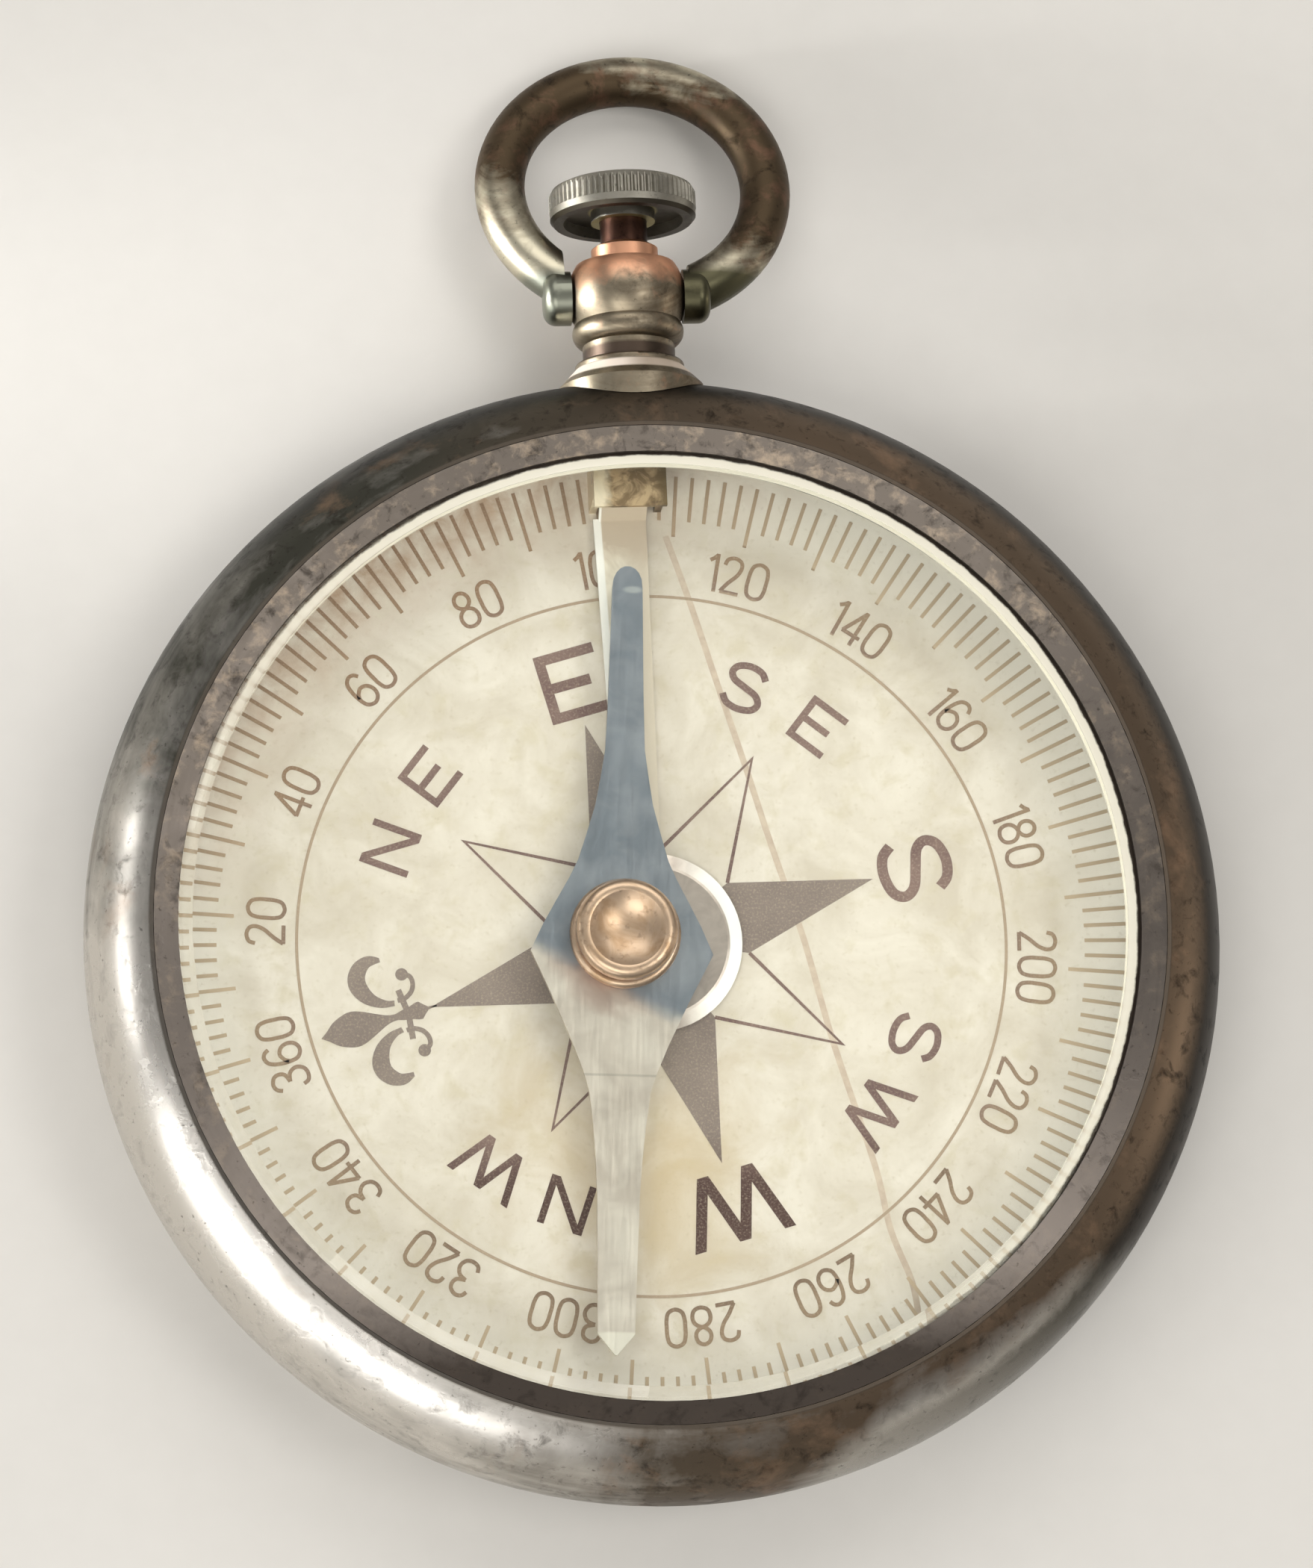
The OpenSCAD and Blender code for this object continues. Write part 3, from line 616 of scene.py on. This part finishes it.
# %% Dial card
def dial_card():
    made, tree = new_material("dial_stained_card")
    where = place_mm(tree)
    x, y, _, r = polar(tree, where)
    fibres = add(tree, "TexNoise", {"Vector": where, "Scale": 1 / 0.25, "Detail": 5, "Roughness": 0.7})
    cloud = add(
        tree, "TexNoise",
        {"Vector": where, "Scale": 1 / 3.5, "Detail": 6, "Roughness": 0.62, "Distortion": 0.6}
    )
    small = add(
        tree, "TexNoise",
        {"Vector": where, "Scale": 1 / 1.1, "Detail": 5, "Roughness": 0.6, "Distortion": 0.4}
    )
    clouded = add(tree, "ValToRGB", cloud, stops=[(0.36, 0.0), (0.66, 1.0)])
    base = lay_over(tree, "#DFD8CF", "#CAC1B4", clouded)
    blotches = add(tree, "ValToRGB", small, stops=[(0.3, 1.0), (0.48, 0.0)])
    base = lay_over(tree, base, "#C6BCA4", blotches, 0.5)
    # the outer ring, from 14.5 mm out, and its very rim, which is paler with painted light against the shadow
    # of the case wall
    ring = weighed(tree, -2.9, (r, 0.2), clamp=True)
    ring = add(tree, "ValToRGB", ring, stops=[(0.0, 0.0), (0.9, 1.0)], curve="EASE")
    base = lay_over(tree, base, "#FFFAF1", weighed(tree, -5.8, (r, 0.36), clamp=True))
    # the damp came in at the upper left, and painted shade from the bezel greys the outer ring towards the top
    side = weighed(tree, -0.53, (y, 0.045), (x, -0.03), clamp=True)
    stain = add(tree, "Math", ring, side, operation="MULTIPLY")
    base = lay_over(tree, base, "#AF8563", stain, weighed(tree, -0.6, (small, 3.6)))
    shade = add(tree, "Math", ring, weighed(tree, 0.1, (y, 0.03), clamp=True), operation="MULTIPLY")
    base = lay_over(tree, base, "#A79C86", shade, 0.2)
    # one more weak stain, near the bottom
    low_place = add(tree, "VectorMath", {0: where, 1: (-1.0, -9.0, 3.5)}, operation="SUBTRACT")
    low_stain = weighed(tree, 0.15, (cloud, 1.6), (polar(tree, low_place)[3], -0.15), clamp=True)
    base = lay_over(tree, base, "#C6AF86", low_stain, 0.55)
    flecks = add(tree, "ValToRGB", fibres, stops=[(0.28, 1.0), (0.44, 0.0)])
    colour = lay_over(tree, base, "#A89878", flecks, 0.3)
    bump = add(tree, "Bump", {"Height": fibres, "Strength": 0.15, "Distance": 0.03 * MM})
    shader = add(
        tree, "BsdfPrincipled", {"Base Color": colour, "Roughness": 0.85, "IOR": 1.45, "Normal": bump}
    )
    add(tree, "OutputMaterial", {"Surface": shader})
    return made


dress("dial", dial_card())
print("card on the dial")

# %% [markdown]
# ## Printing
# The print could be a picture, but a picture has a fixed sharpness and needs a file. Here each line is
# a thin flat shape that lies a hundredth of a millimetre over the card, like real ink. A stroke is a
# ribbon along a line of points, and a letter with square ends is one polygon.

# %% Ink shapes
CARD_Z, INK_GAP = 3.5, 0.012
INK_Z = CARD_Z + INK_GAP
INK_LAYER = 0.001
NORTH = 255.3
PRINT_SHIFT = Vector((-0.03, -0.16))
ink = bmesh.new()


def ink_face(points, z=INK_Z):
    corners = [ink.verts.new((x * MM, y * MM, z * MM)) for x, y in points]
    face = ink.faces.new(corners)
    face.normal_update()
    if face.normal.z < 0:
        face.normal_flip()


def ribbon(points, width, closed=False, z=INK_Z):
    """A stroke of even width along points, mitred at its corners."""
    n = len(points)
    pts = [Vector(p) for p in points]
    left, right_side = [], []
    for i, p in enumerate(pts):
        ways = []
        if i > 0 or closed:
            ways.append((p - pts[i - 1]).normalized())
        if i < n - 1 or closed:
            ways.append((pts[(i + 1) % n] - p).normalized())
        way = sum(ways, Vector((0, 0)))
        way = way.normalized() if way.length > 1e-6 else ways[0]
        side = Vector((-way.y, way.x))
        stretch = min(2.0, 1 / max(0.3, abs(side.dot(Vector((-ways[0].y, ways[0].x))))))
        reach = side * (width / 2 * stretch)
        left.append(p + reach)
        right_side.append(p - reach)
    rows = [[ink.verts.new((*(p * MM), z * MM)) for p in pair] for pair in zip(left, right_side)]
    for i in range(n if closed else n - 1):
        a, b = rows[i], rows[(i + 1) % n]
        face = ink.faces.new((a[0], a[1], b[1], b[0]))
        face.normal_update()
        if face.normal.z < 0:
            face.normal_flip()


def smooth_line(points, steps=6, closed=False):
    """Points along a curve that passes through all the given ones."""
    n = len(points)
    pts = [Vector(p) for p in points]
    made = []
    for i in range(n if closed else n - 1):
        p0 = pts[i - 1] if (i > 0 or closed) else pts[0]
        p1, p2 = pts[i], pts[(i + 1) % n]
        p3 = pts[(i + 2) % n] if (i + 2 < n or closed) else pts[-1]
        for k in range(steps):
            t = k / steps
            made.append(
                0.5 * ((2 * p1) + (p2 - p0) * t + (2 * p0 - 5 * p1 + 4 * p2 - p3) * t * t
                       + (3 * p1 - p0 - 3 * p2 + p3) * t ** 3)
            )
    return made if closed else made + [pts[-1]]


def on_dial(angle, radius, sideways=0.0):
    """A point of the dial: angle in degrees clockwise from the bow, distance from the middle."""
    a = math.radians(angle)
    out, across = Vector((math.sin(a), math.cos(a))), Vector((math.cos(a), -math.sin(a)))
    return PRINT_SHIFT + out * radius + across * sideways


def circle_points(radius, count=360):
    return [on_dial(360 * i / count, radius) for i in range(count)]


print("ink helpers ready")

# %% [markdown]
# ## Ring, ticks and star
# The ring of ticks has one line every two degrees, with a longer one every ten. The star has four
# solid points on N, E, S and W and four open points between them, which meet in eight inner corners.
# All of it could be drawn by hand, but a few radii and angles give every line its right place.

# %% Ring, ticks and star
CIRCLE_R, TICK_OUT, LONG_TICK_IN, SHORT_TICK_IN = 14.1, 19.1, 16.6, 17.25
CIRCLE_WIDTH, LINE_WIDTH = 0.12, 0.15
ribbon(circle_points(CIRCLE_R), CIRCLE_WIDTH, closed=True)
for step in range(180):
    inner = LONG_TICK_IN if step % 5 == 0 else SHORT_TICK_IN
    angle = NORTH + 2 * step
    ribbon([on_dial(angle, inner), on_dial(angle, TICK_OUT)], LINE_WIDTH)

STAR_IN, STAR_LONG, STAR_SHORT, STEP = 3.85, 9.2, 8.5, 22.5
for quarter in range(4):
    angle = NORTH + 90 * quarter
    before, after, beyond = [on_dial(angle + k * STEP, STAR_IN) for k in (-1, 1, 3)]
    ink_face([PRINT_SHIFT, before, on_dial(angle, STAR_LONG), after])
    ink.faces.ensure_lookup_table()
    ink.faces[-1].material_index = 1
    ribbon([after, on_dial(angle + 2 * STEP, STAR_SHORT), beyond], LINE_WIDTH)
print("ring, 180 ticks and star drawn:", len(ink.faces), "faces")

# %% [markdown]
# ## Letters and numbers
# The letters are plain wide capitals of even stroke, and the numbers are light and narrow. A font
# could be used, but none has these proportions, so the few shapes that are needed are given here as
# lines in a box one unit high. Every sign stands with its top outwards.

# %% Letter and number shapes
SIGN_LINES = {
    "S": [[(0.80, 0.76), (0.68, 0.90), (0.44, 0.955), (0.20, 0.89), (0.11, 0.74), (0.20, 0.60), (0.44, 0.51),
           (0.70, 0.41), (0.80, 0.25), (0.70, 0.10), (0.44, 0.045), (0.19, 0.10), (0.06, 0.25)]],
    "0": [[(0.05, 0.5), (0.055, 0.30), (0.11, 0.12), (0.27, 0.045), (0.43, 0.12), (0.485, 0.30), (0.49, 0.5),
           (0.485, 0.70), (0.43, 0.88), (0.27, 0.955), (0.11, 0.88), (0.055, 0.70)]],
    "1": [[(0.06, 0.80), (0.16, 0.87), (0.24, 0.96)], [(0.24, 0.99), (0.24, 0.0)]],
    "2": [[(0.05, 0.74), (0.10, 0.89), (0.26, 0.955), (0.42, 0.89), (0.46, 0.73), (0.38, 0.52), (0.20, 0.29),
           (0.05, 0.05)], [(0.04, 0.045), (0.49, 0.045)]],
    "3": [[(0.05, 0.78), (0.12, 0.91), (0.26, 0.955), (0.41, 0.88), (0.45, 0.74), (0.39, 0.60), (0.20, 0.53)],
          [(0.20, 0.53), (0.39, 0.47), (0.48, 0.29), (0.41, 0.11), (0.26, 0.045), (0.10, 0.09), (0.04, 0.23)]],
    "4": [[(0.38, 0.0), (0.38, 0.98)], [(0.37, 0.94), (0.05, 0.27)], [(0.03, 0.27), (0.52, 0.27)]],
    "6": [[(0.45, 0.80), (0.39, 0.91), (0.27, 0.955), (0.13, 0.87), (0.06, 0.66), (0.045, 0.40), (0.09, 0.15),
           (0.26, 0.045), (0.42, 0.12), (0.48, 0.30), (0.42, 0.48), (0.27, 0.56), (0.12, 0.48), (0.06, 0.38)]],
    "8": [[(0.26, 0.535), (0.12, 0.62), (0.08, 0.75), (0.13, 0.89), (0.26, 0.955), (0.39, 0.89), (0.44, 0.75),
           (0.40, 0.62)],
          [(0.26, 0.525), (0.10, 0.44), (0.045, 0.28), (0.10, 0.11), (0.26, 0.045), (0.42, 0.11), (0.475, 0.28),
           (0.42, 0.44)]],
}
CLOSED_SIGNS = "08"
ROUND_SIGNS = "S02368"


def zigzag(xs, t):
    """A W with flat feet: xs are the places of its five corners, t the stroke along the line."""
    h = t / 2

    def cross(xa, ya, xb, yb, xc, yc, xd, yd):
        d = (xa - xb) * (yc - yd) - (ya - yb) * (xc - xd)
        p, q = xa * yb - ya * xb, xc * yd - yc * xd
        return ((p * (xc - xd) - (xa - xb) * q) / d, (p * (yc - yd) - (ya - yb) * q) / d)

    a, b, c, d, e = xs
    return [
        (a - h, 1), (b - h, 0), (b + h, 0), cross(b + h, 0, c + h, 1, c - h, 1, d - h, 0), (d - h, 0),
        (d + h, 0), (e + h, 1), (e - h, 1), cross(e - h, 1, d - h, 0, d + h, 0, c + h, 1), (c + h, 1),
        (c - h, 1), cross(a + h, 1, b + h, 0, b - h, 0, c - h, 1), (a + h, 1),
    ]


def sign_outline(sign, t):
    """Corner list and width of a sign that is one polygon, t being its stroke in units of its height."""
    if sign == "E":
        w = 0.86
        return [(0, 0), (w, 0), (w, t), (t, t), (t, 0.5 - t / 2), (0.70, 0.5 - t / 2), (0.70, 0.5 + t / 2),
                (t, 0.5 + t / 2), (t, 1 - t), (w, 1 - t), (w, 1), (0, 1)], w
    if sign == "N":
        w, d = 0.92, t * 1.25
        y = t / (w - d)
        half = [(0, 0), (t, 0), (t, 1 - y), (w - d, 0), (w, 0)]
        return half + [(w - x, 1 - z) for x, z in half], w
    xs = [0.07, 0.40, 0.72, 1.04, 1.37]
    return zigzag(xs, t * 1.1), 1.44


def draw_sign(sign, angle, radius, height, stroke, width_scale=1.0):
    def put(p):
        return on_dial(angle, radius + (p[1] - 0.5) * height, (p[0] - w / 2) * height * width_scale)

    if sign in SIGN_LINES:
        w = {"S": 0.86, "1": 0.30}.get(sign, 0.54)
        for number, line in enumerate(SIGN_LINES[sign]):
            shut = sign in CLOSED_SIGNS
            line = [put(p) for p in line]
            if sign in ROUND_SIGNS and len(line) > 2:
                line = smooth_line(line, closed=shut)
            # a later stroke lies a little higher, so that two never share a plane
            ribbon(line, stroke, shut, INK_Z + INK_LAYER * number)
    else:
        outline, w = sign_outline(sign, stroke / height)
        ink_face([put(p) for p in outline])


print("shapes ready for", len(SIGN_LINES) + 3, "signs")

# %% [markdown]
# ## Where the signs stand
# Three large letters mark the quarters, four pairs of small ones stand between them, and a number
# stands every twenty degrees. Type could be set on a circle by a tool, but the real card was set by
# hand and a few signs stand a little off, so each place is worked out here and nudged where needed.

# %% Letters and numbers in place
LETTER = {"radius": 10.95, "height": 2.85, "stroke": 0.42}
PAIR = {"radius": 11.05, "height": 2.0, "stroke": 0.28}
NUMBER = {"radius": 15.35, "height": 1.6, "stroke": 0.16, "width_scale": 1.04}
NUMBER_PITCH = 1.56
NUDGE = {340: -1.0, 360: -0.5, 20: -0.5, 40: -0.4}
for sign, angle in (("E", 90), ("S", 180), ("W", 270)):
    draw_sign(sign, NORTH + angle, **LETTER)
for pair, angle in (("NE", 45), ("SE", 135), ("SW", 225), ("NW", 313.6)):
    for sign, offset in zip(pair, (-8.5, 8.8)):
        draw_sign(sign, NORTH + angle + offset, **PAIR)
for degrees in range(20, 361, 20):
    digits = str(degrees)
    widths = [0.39 if sign == "1" else 0.66 for sign in digits]
    start = -sum(widths) / 2
    for sign, width in zip(digits, widths):
        along = math.degrees((start + width / 2) * NUMBER_PITCH / NUMBER["radius"])
        draw_sign(sign, NORTH + degrees + NUDGE.get(degrees, 0) + along, **NUMBER)
        start += width
print("letters and numbers drawn:", len(ink.faces), "faces")

# %% [markdown]
# ## The lily at north
# Compass cards mark north with a heraldic lily. It is drawn here by the points of one half, measured
# along the north line and to its side, and mirrored for the other half: a middle petal, two hooked
# side petals, a cross band, two curls that end in a dot, and a foot that runs into the star.

# %% Lily
LILY_HOOK_OUT = [(10.60, 2.46), (10.90, 2.63), (11.22, 2.66), (11.65, 2.50), (11.98, 2.12), (12.08, 1.66),
                 (11.94, 1.21), (11.60, 0.80), (11.08, 0.52), (10.55, 0.44)]
LILY_HOOK_IN = [(10.50, 0.66), (10.80, 0.74), (11.16, 1.05), (11.34, 1.45), (11.36, 1.84), (11.12, 2.18),
                (10.86, 2.26), (10.60, 2.28)]
LILY_PETAL = [(13.70, 0.0), (13.42, 0.20), (13.05, 0.50), (12.55, 0.69), (12.20, 0.70), (11.80, 0.56),
              (11.38, 0.36), (11.00, 0.19), (10.65, 0.13), (10.35, 0.20)]
LILY_FOOT = [(10.35, 0.20), (10.0, 0.26), (9.78, 0.34), (9.62, 0.36), (9.48, 0.22), (9.30, 0.06), (8.95, 0.03)]
LILY_CURL = [(10.38, 0.62), (10.10, 0.62), (9.78, 0.80), (9.62, 1.08), (9.64, 1.40), (9.90, 1.60)]
LILY_BAND = [(10.24, -1.02), (10.20, -0.7), (10.12, 0), (10.20, 0.7), (10.24, 1.02)]
BAND_WIDTH, CURL_WIDTH = 0.24, 0.19
DOT_AT, DOT_R = (9.93, 1.58), 0.25


def lily(r, s):
    return on_dial(NORTH, r, s)


before_lily = len(ink.faces)
half = smooth_line(LILY_PETAL) + LILY_FOOT[1:]
ink_face([lily(r, s) for r, s in half] + [lily(r, -s) for r, s in reversed(half[1:])])
for side in (1, -1):
    hook = smooth_line(LILY_HOOK_OUT) + smooth_line(LILY_HOOK_IN)
    ink_face([lily(r, side * s) for r, s in hook], INK_Z + 2 * INK_LAYER)
    curl = [lily(r, side * s) for r, s in smooth_line(LILY_CURL)]
    ribbon(curl, CURL_WIDTH, z=INK_Z + 3 * INK_LAYER)
    turns = [k / 16 * math.tau for k in range(16)]
    dot = [(DOT_AT[0] + DOT_R * math.cos(a), DOT_AT[1] + DOT_R * math.sin(a)) for a in turns]
    ink_face([lily(r, side * s) for r, s in dot], INK_Z + 4 * INK_LAYER)
ribbon([lily(r, s) for r, s in LILY_BAND], BAND_WIDTH, z=INK_Z + INK_LAYER)
ink.faces.ensure_lookup_table()
for face in ink.faces[before_lily:]:
    face.material_index = 1
print("lily drawn:", len(ink.faces), "faces")

# %% [markdown]
# ## The ink
# Old printing ink is a dark brown film that has worn thin. It is darkest in the letters at the bottom,
# thinner in the circle and numbers, and palest in the ticks, and the paper's grain shows through.
# Two inks serve: a brown one for letters and lines and a grey one for the solid star and lily. Both
# use the same recipe and differ only in the colour of the film.

# %% Ink material
def ink_material(name, letters, letters_worn):
    made, tree = new_material(name)
    where = place_mm(tree)
    cloud = add(tree, "TexNoise", {"Vector": where, "Scale": 1 / 2.2, "Detail": 5, "Roughness": 0.6})
    grain = add(tree, "TexNoise", {"Vector": where, "Scale": 1 / 0.09, "Detail": 4, "Roughness": 0.7})
    x, y, _, r = polar(tree, where)
    worn = add(tree, "ValToRGB", cloud, stops=[(0.35, 0.0), (0.7, 1.0)])
    dark = lay_over(tree, letters, letters_worn, worn)
    # near the bottom the letters have kept their full dark brown
    kept = weighed(tree, -3.9, (y, -0.5), clamp=True)
    dark = lay_over(tree, dark, "#38160F", kept, 0.85)
    # circle, numbers and ticks are printed thinner and browner than the letters, the ticks palest of all
    outer = add(tree, "ValToRGB", weighed(tree, -6.8, (r, 0.5), clamp=True), stops=[(0.0, 0.0), (1.0, 1.0)])
    thin = lay_over(tree, dark, "#937D67", outer)
    from_circle = add(tree, "Math", add(tree, "Math", r, -CIRCLE_R, operation="ADD"), operation="ABSOLUTE")
    on_circle = add(tree, "ValToRGB", from_circle, stops=[(0.3, 1.0), (0.4, 0.0)])
    thin = lay_over(tree, thin, "#A79481", on_circle)
    on_ticks = add(tree, "ValToRGB", weighed(tree, -16.0, (r, 1.0)), stops=[(0.45, 0.0), (0.55, 1.0)])
    thin = lay_over(tree, thin, "#C2AE95", on_ticks)
    # at the upper left the ticks stand dark in the stain
    stained = weighed(tree, -0.62, (y, 0.06), (x, -0.04), clamp=True)
    thin = lay_over(tree, thin, "#8A684E", stained, add(tree, "Math", outer, 1.2, operation="MULTIPLY"))
    # paper fibres show through everywhere
    faded = add(tree, "ValToRGB", grain, stops=[(0.32, 1.0), (0.5, 0.0)])
    colour = lay_over(tree, thin, "#C9BBA4", faded, 0.35)
    shader = add(tree, "BsdfPrincipled", {"Base Color": colour, "Roughness": 0.7, "IOR": 1.45})
    add(tree, "OutputMaterial", {"Surface": shader})
    return made


print("recipe for faded ink ready")

# %% [markdown]
# ## The print on the card
# All the flat shapes become one mesh, which rides on the case. A separate object for each sign would only
# make the print harder to handle.

# %% Print object
def mesh_object(name, shapes, materials, body):
    mesh = bpy.data.meshes.new(name)
    shapes.to_mesh(mesh)
    shapes.free()
    for material in materials:
        mesh.materials.append(material)
    made = bpy.data.objects.new(name, mesh)
    bpy.context.collection.objects.link(made)
    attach(made, body)
    return made


inks = [
    ink_material("print_faded_ink", "#68504E", "#836C66"),
    ink_material("print_grey_ink", "#7D706B", "#8C7F78"),
]
mesh_object("dial_ink", ink, inks, "case")
print("print laid on the dial")

# %% [markdown]
# ## A crease in the card
# A fine pinkish crease runs across the card from beside the bracket to the lower right. It lies just
# under the print, a quarter of a millimetre wide and a little darker than the card. It could be a dark
# line in the card's own material, but a thin ribbon is easier to lay along its bent path.

# %% Crease
CREASE = [(1.2, 16.4), (2.1, 13.5), (3.03, 10.2), (4.0, 6.8), (4.82, 3.8), (5.98, -0.2), (6.96, -4.4),
          (8.35, -9.3), (8.85, -11.9), (9.59, -14.0), (9.8, -15.6)]
CREASE_WIDTH = 0.25


def crease_material():
    made, tree = new_material("dial_creased_card")
    grain = add(
        tree, "TexNoise", {"Vector": place_mm(tree), "Scale": 1 / 0.5, "Detail": 5, "Roughness": 0.6}
    )
    colour = lay_over(
        tree, "#BDAC9E", "#CBBCAC", add(tree, "ValToRGB", grain, stops=[(0.38, 0.0), (0.6, 1.0)])
    )
    shader = add(tree, "BsdfPrincipled", {"Base Color": colour, "Roughness": 0.85, "IOR": 1.45})
    add(tree, "OutputMaterial", {"Surface": shader})
    return made


ink = bmesh.new()
ribbon(smooth_line(CREASE), CREASE_WIDTH, z=CARD_Z + INK_GAP / 2)
mesh_object("dial_crease", ink, [crease_material()], "case")
print("crease laid in the card")

# %% [markdown]
# ## The glass
# The glass is flat with a bevelled edge. Real glass lets the room's light through to the dial, but a
# path tracer finds that light badly, so lamp rays pass the glass freely while eye rays are bent and
# mirrored by it. A few faint scratches and smears keep it from looking absent. The bevel carries a
# painted highlight, strongest at the top and right, and a painted shade in the gap at the bezel.

# %% Glass
def crystal_glass():
    made, tree = new_material("crystal_scratched_glass")
    where = place_mm(tree)
    x, y, _, r = polar(tree, where)
    smear = add(
        tree, "TexNoise",
        {"Vector": where, "Scale": 1 / 5.0, "Detail": 5, "Roughness": 0.6, "Distortion": 1.0}
    )
    drawn_out = add(tree, "VectorMath", {0: where, 1: (5.0, 0.25, 1.0)}, operation="MULTIPLY")
    hair = add(tree, "TexNoise", {"Vector": drawn_out, "Scale": 1 / 0.8, "Detail": 6, "Roughness": 0.55})
    rough = add(tree, "Math", smear, 0.04, operation="MULTIPLY")
    bump = add(tree, "Bump", {"Height": hair, "Strength": 0.01, "Distance": 0.005 * MM})
    glass = add(
        tree, "BsdfPrincipled",
        {
            "Base Color": "#FBFCF8", "Roughness": rough, "IOR": 1.5, "Transmission Weight": 1.0,
            "Normal": bump
        }
    )
    # painted highlight: the bevel is pale and matt, strongest at the top and right, and a painted shade runs in
    # the gap where it meets the bezel
    gap_noise = add(tree, "TexNoise", {"Vector": where, "Scale": 1 / 1.0, "Detail": 5, "Roughness": 0.6})
    line = add(
        tree, "ValToRGB", weighed(tree, -17.97, (r, 1.0), (gap_noise, 0.25)), stops=[(0.78, 0.0), (0.86, 1.0)]
    )
    ground = add(
        tree, "BsdfPrincipled",
        {"Base Color": lay_over(tree, "#FFFAE8", "#2A2119", line), "Roughness": 0.45, "IOR": 1.5}
    )
    on_bevel = add(
        tree, "ValToRGB", add(tree, "Math", r, -18.0, operation="ADD"), stops=[(0.27, 0.0), (0.31, 1.0)]
    )
    # the painted highlight is strongest at the top and at the right
    upper = weighed(tree, 0.45, (y, 0.04), (x, 0.03), clamp=True)
    right = weighed(tree, 0.25, (y, 0.02), (x, 0.05), clamp=True)
    bevel_highlight = weighed(tree, 0.03, (upper, 0.85))
    bevel_highlight = add(tree, "Math", bevel_highlight, add(tree, "Math", line, right, operation="MULTIPLY"), operation="MAXIMUM")
    on_bevel_highlight = add(tree, "Math", on_bevel, bevel_highlight, operation="MULTIPLY")
    whole = add(tree, "MixShader", {0: on_bevel_highlight, 1: glass, 2: ground})
    clear = add(tree, "BsdfTransparent", {"Color": "#F8F9F5"})
    lamp_ray = add(tree, "LightPath", out="Is Shadow Ray")
    mixed = add(tree, "MixShader", {0: lamp_ray, 1: whole, 2: clear})
    add(tree, "OutputMaterial", {"Surface": mixed})
    return made


dress("crystal", crystal_glass())
print("glass in the bezel")

# %% [markdown]
# ## Small bevels
# No made edge is perfectly sharp. A bevel of a few hundredths of a millimetre on the needle, lifter,
# bracket, crown and bezel gives each edge its thin line of light. The edges could be cut round in the
# solid, but the bevel modifier does it without touching the solid itself.

# %% Bevels
BEVELS = {"needle": 0.06, "lifter": 0.03, "lifter_bracket": 0.05, "crown": 0.02, "bezel": 0.05}
for name, width in BEVELS.items():
    bevel = solids[name].modifiers.new("soft_edge", "BEVEL")
    bevel.width = width * MM
    bevel.segments = 2
    bevel.limit_method = "ANGLE"
    bevel.angle_limit = math.radians(40)
    bevel.harden_normals = False
print("bevels on", ", ".join(BEVELS))

# %% [markdown]
# ## The floor
# A pale matt floor that runs on in all directions shows the object without telling a story. A curved
# backdrop would do as well, but a level plane needs no thought from any side. It is stage and not part
# of the object. It lies a hundredth of a millimetre under the case, so that two faces never share a plane.

# %% Floor
FLOOR_SIZE, FLOOR_GAP = 3.0, 0.01


def floor_material():
    made, tree = new_material("floor_pale_board")
    where = place_mm(tree)
    grain = add(tree, "TexNoise", {"Vector": where, "Scale": 1 / 1.5, "Detail": 4, "Roughness": 0.55})
    colour = lay_over(tree, "#D9D6D0", "#DEDBD5", grain)
    bump = add(tree, "Bump", {"Height": grain, "Strength": 0.05, "Distance": 0.05 * MM})
    shader = add(tree, "BsdfPrincipled", {"Base Color": colour, "Roughness": 0.9, "Normal": bump})
    add(tree, "OutputMaterial", {"Surface": shader})
    return made


bpy.ops.mesh.primitive_plane_add(size=FLOOR_SIZE, location=(0, 0, -FLOOR_GAP * MM))
floor = bpy.context.active_object
floor.name = "floor"
floor.data.materials.append(floor_material())
print("floor laid")
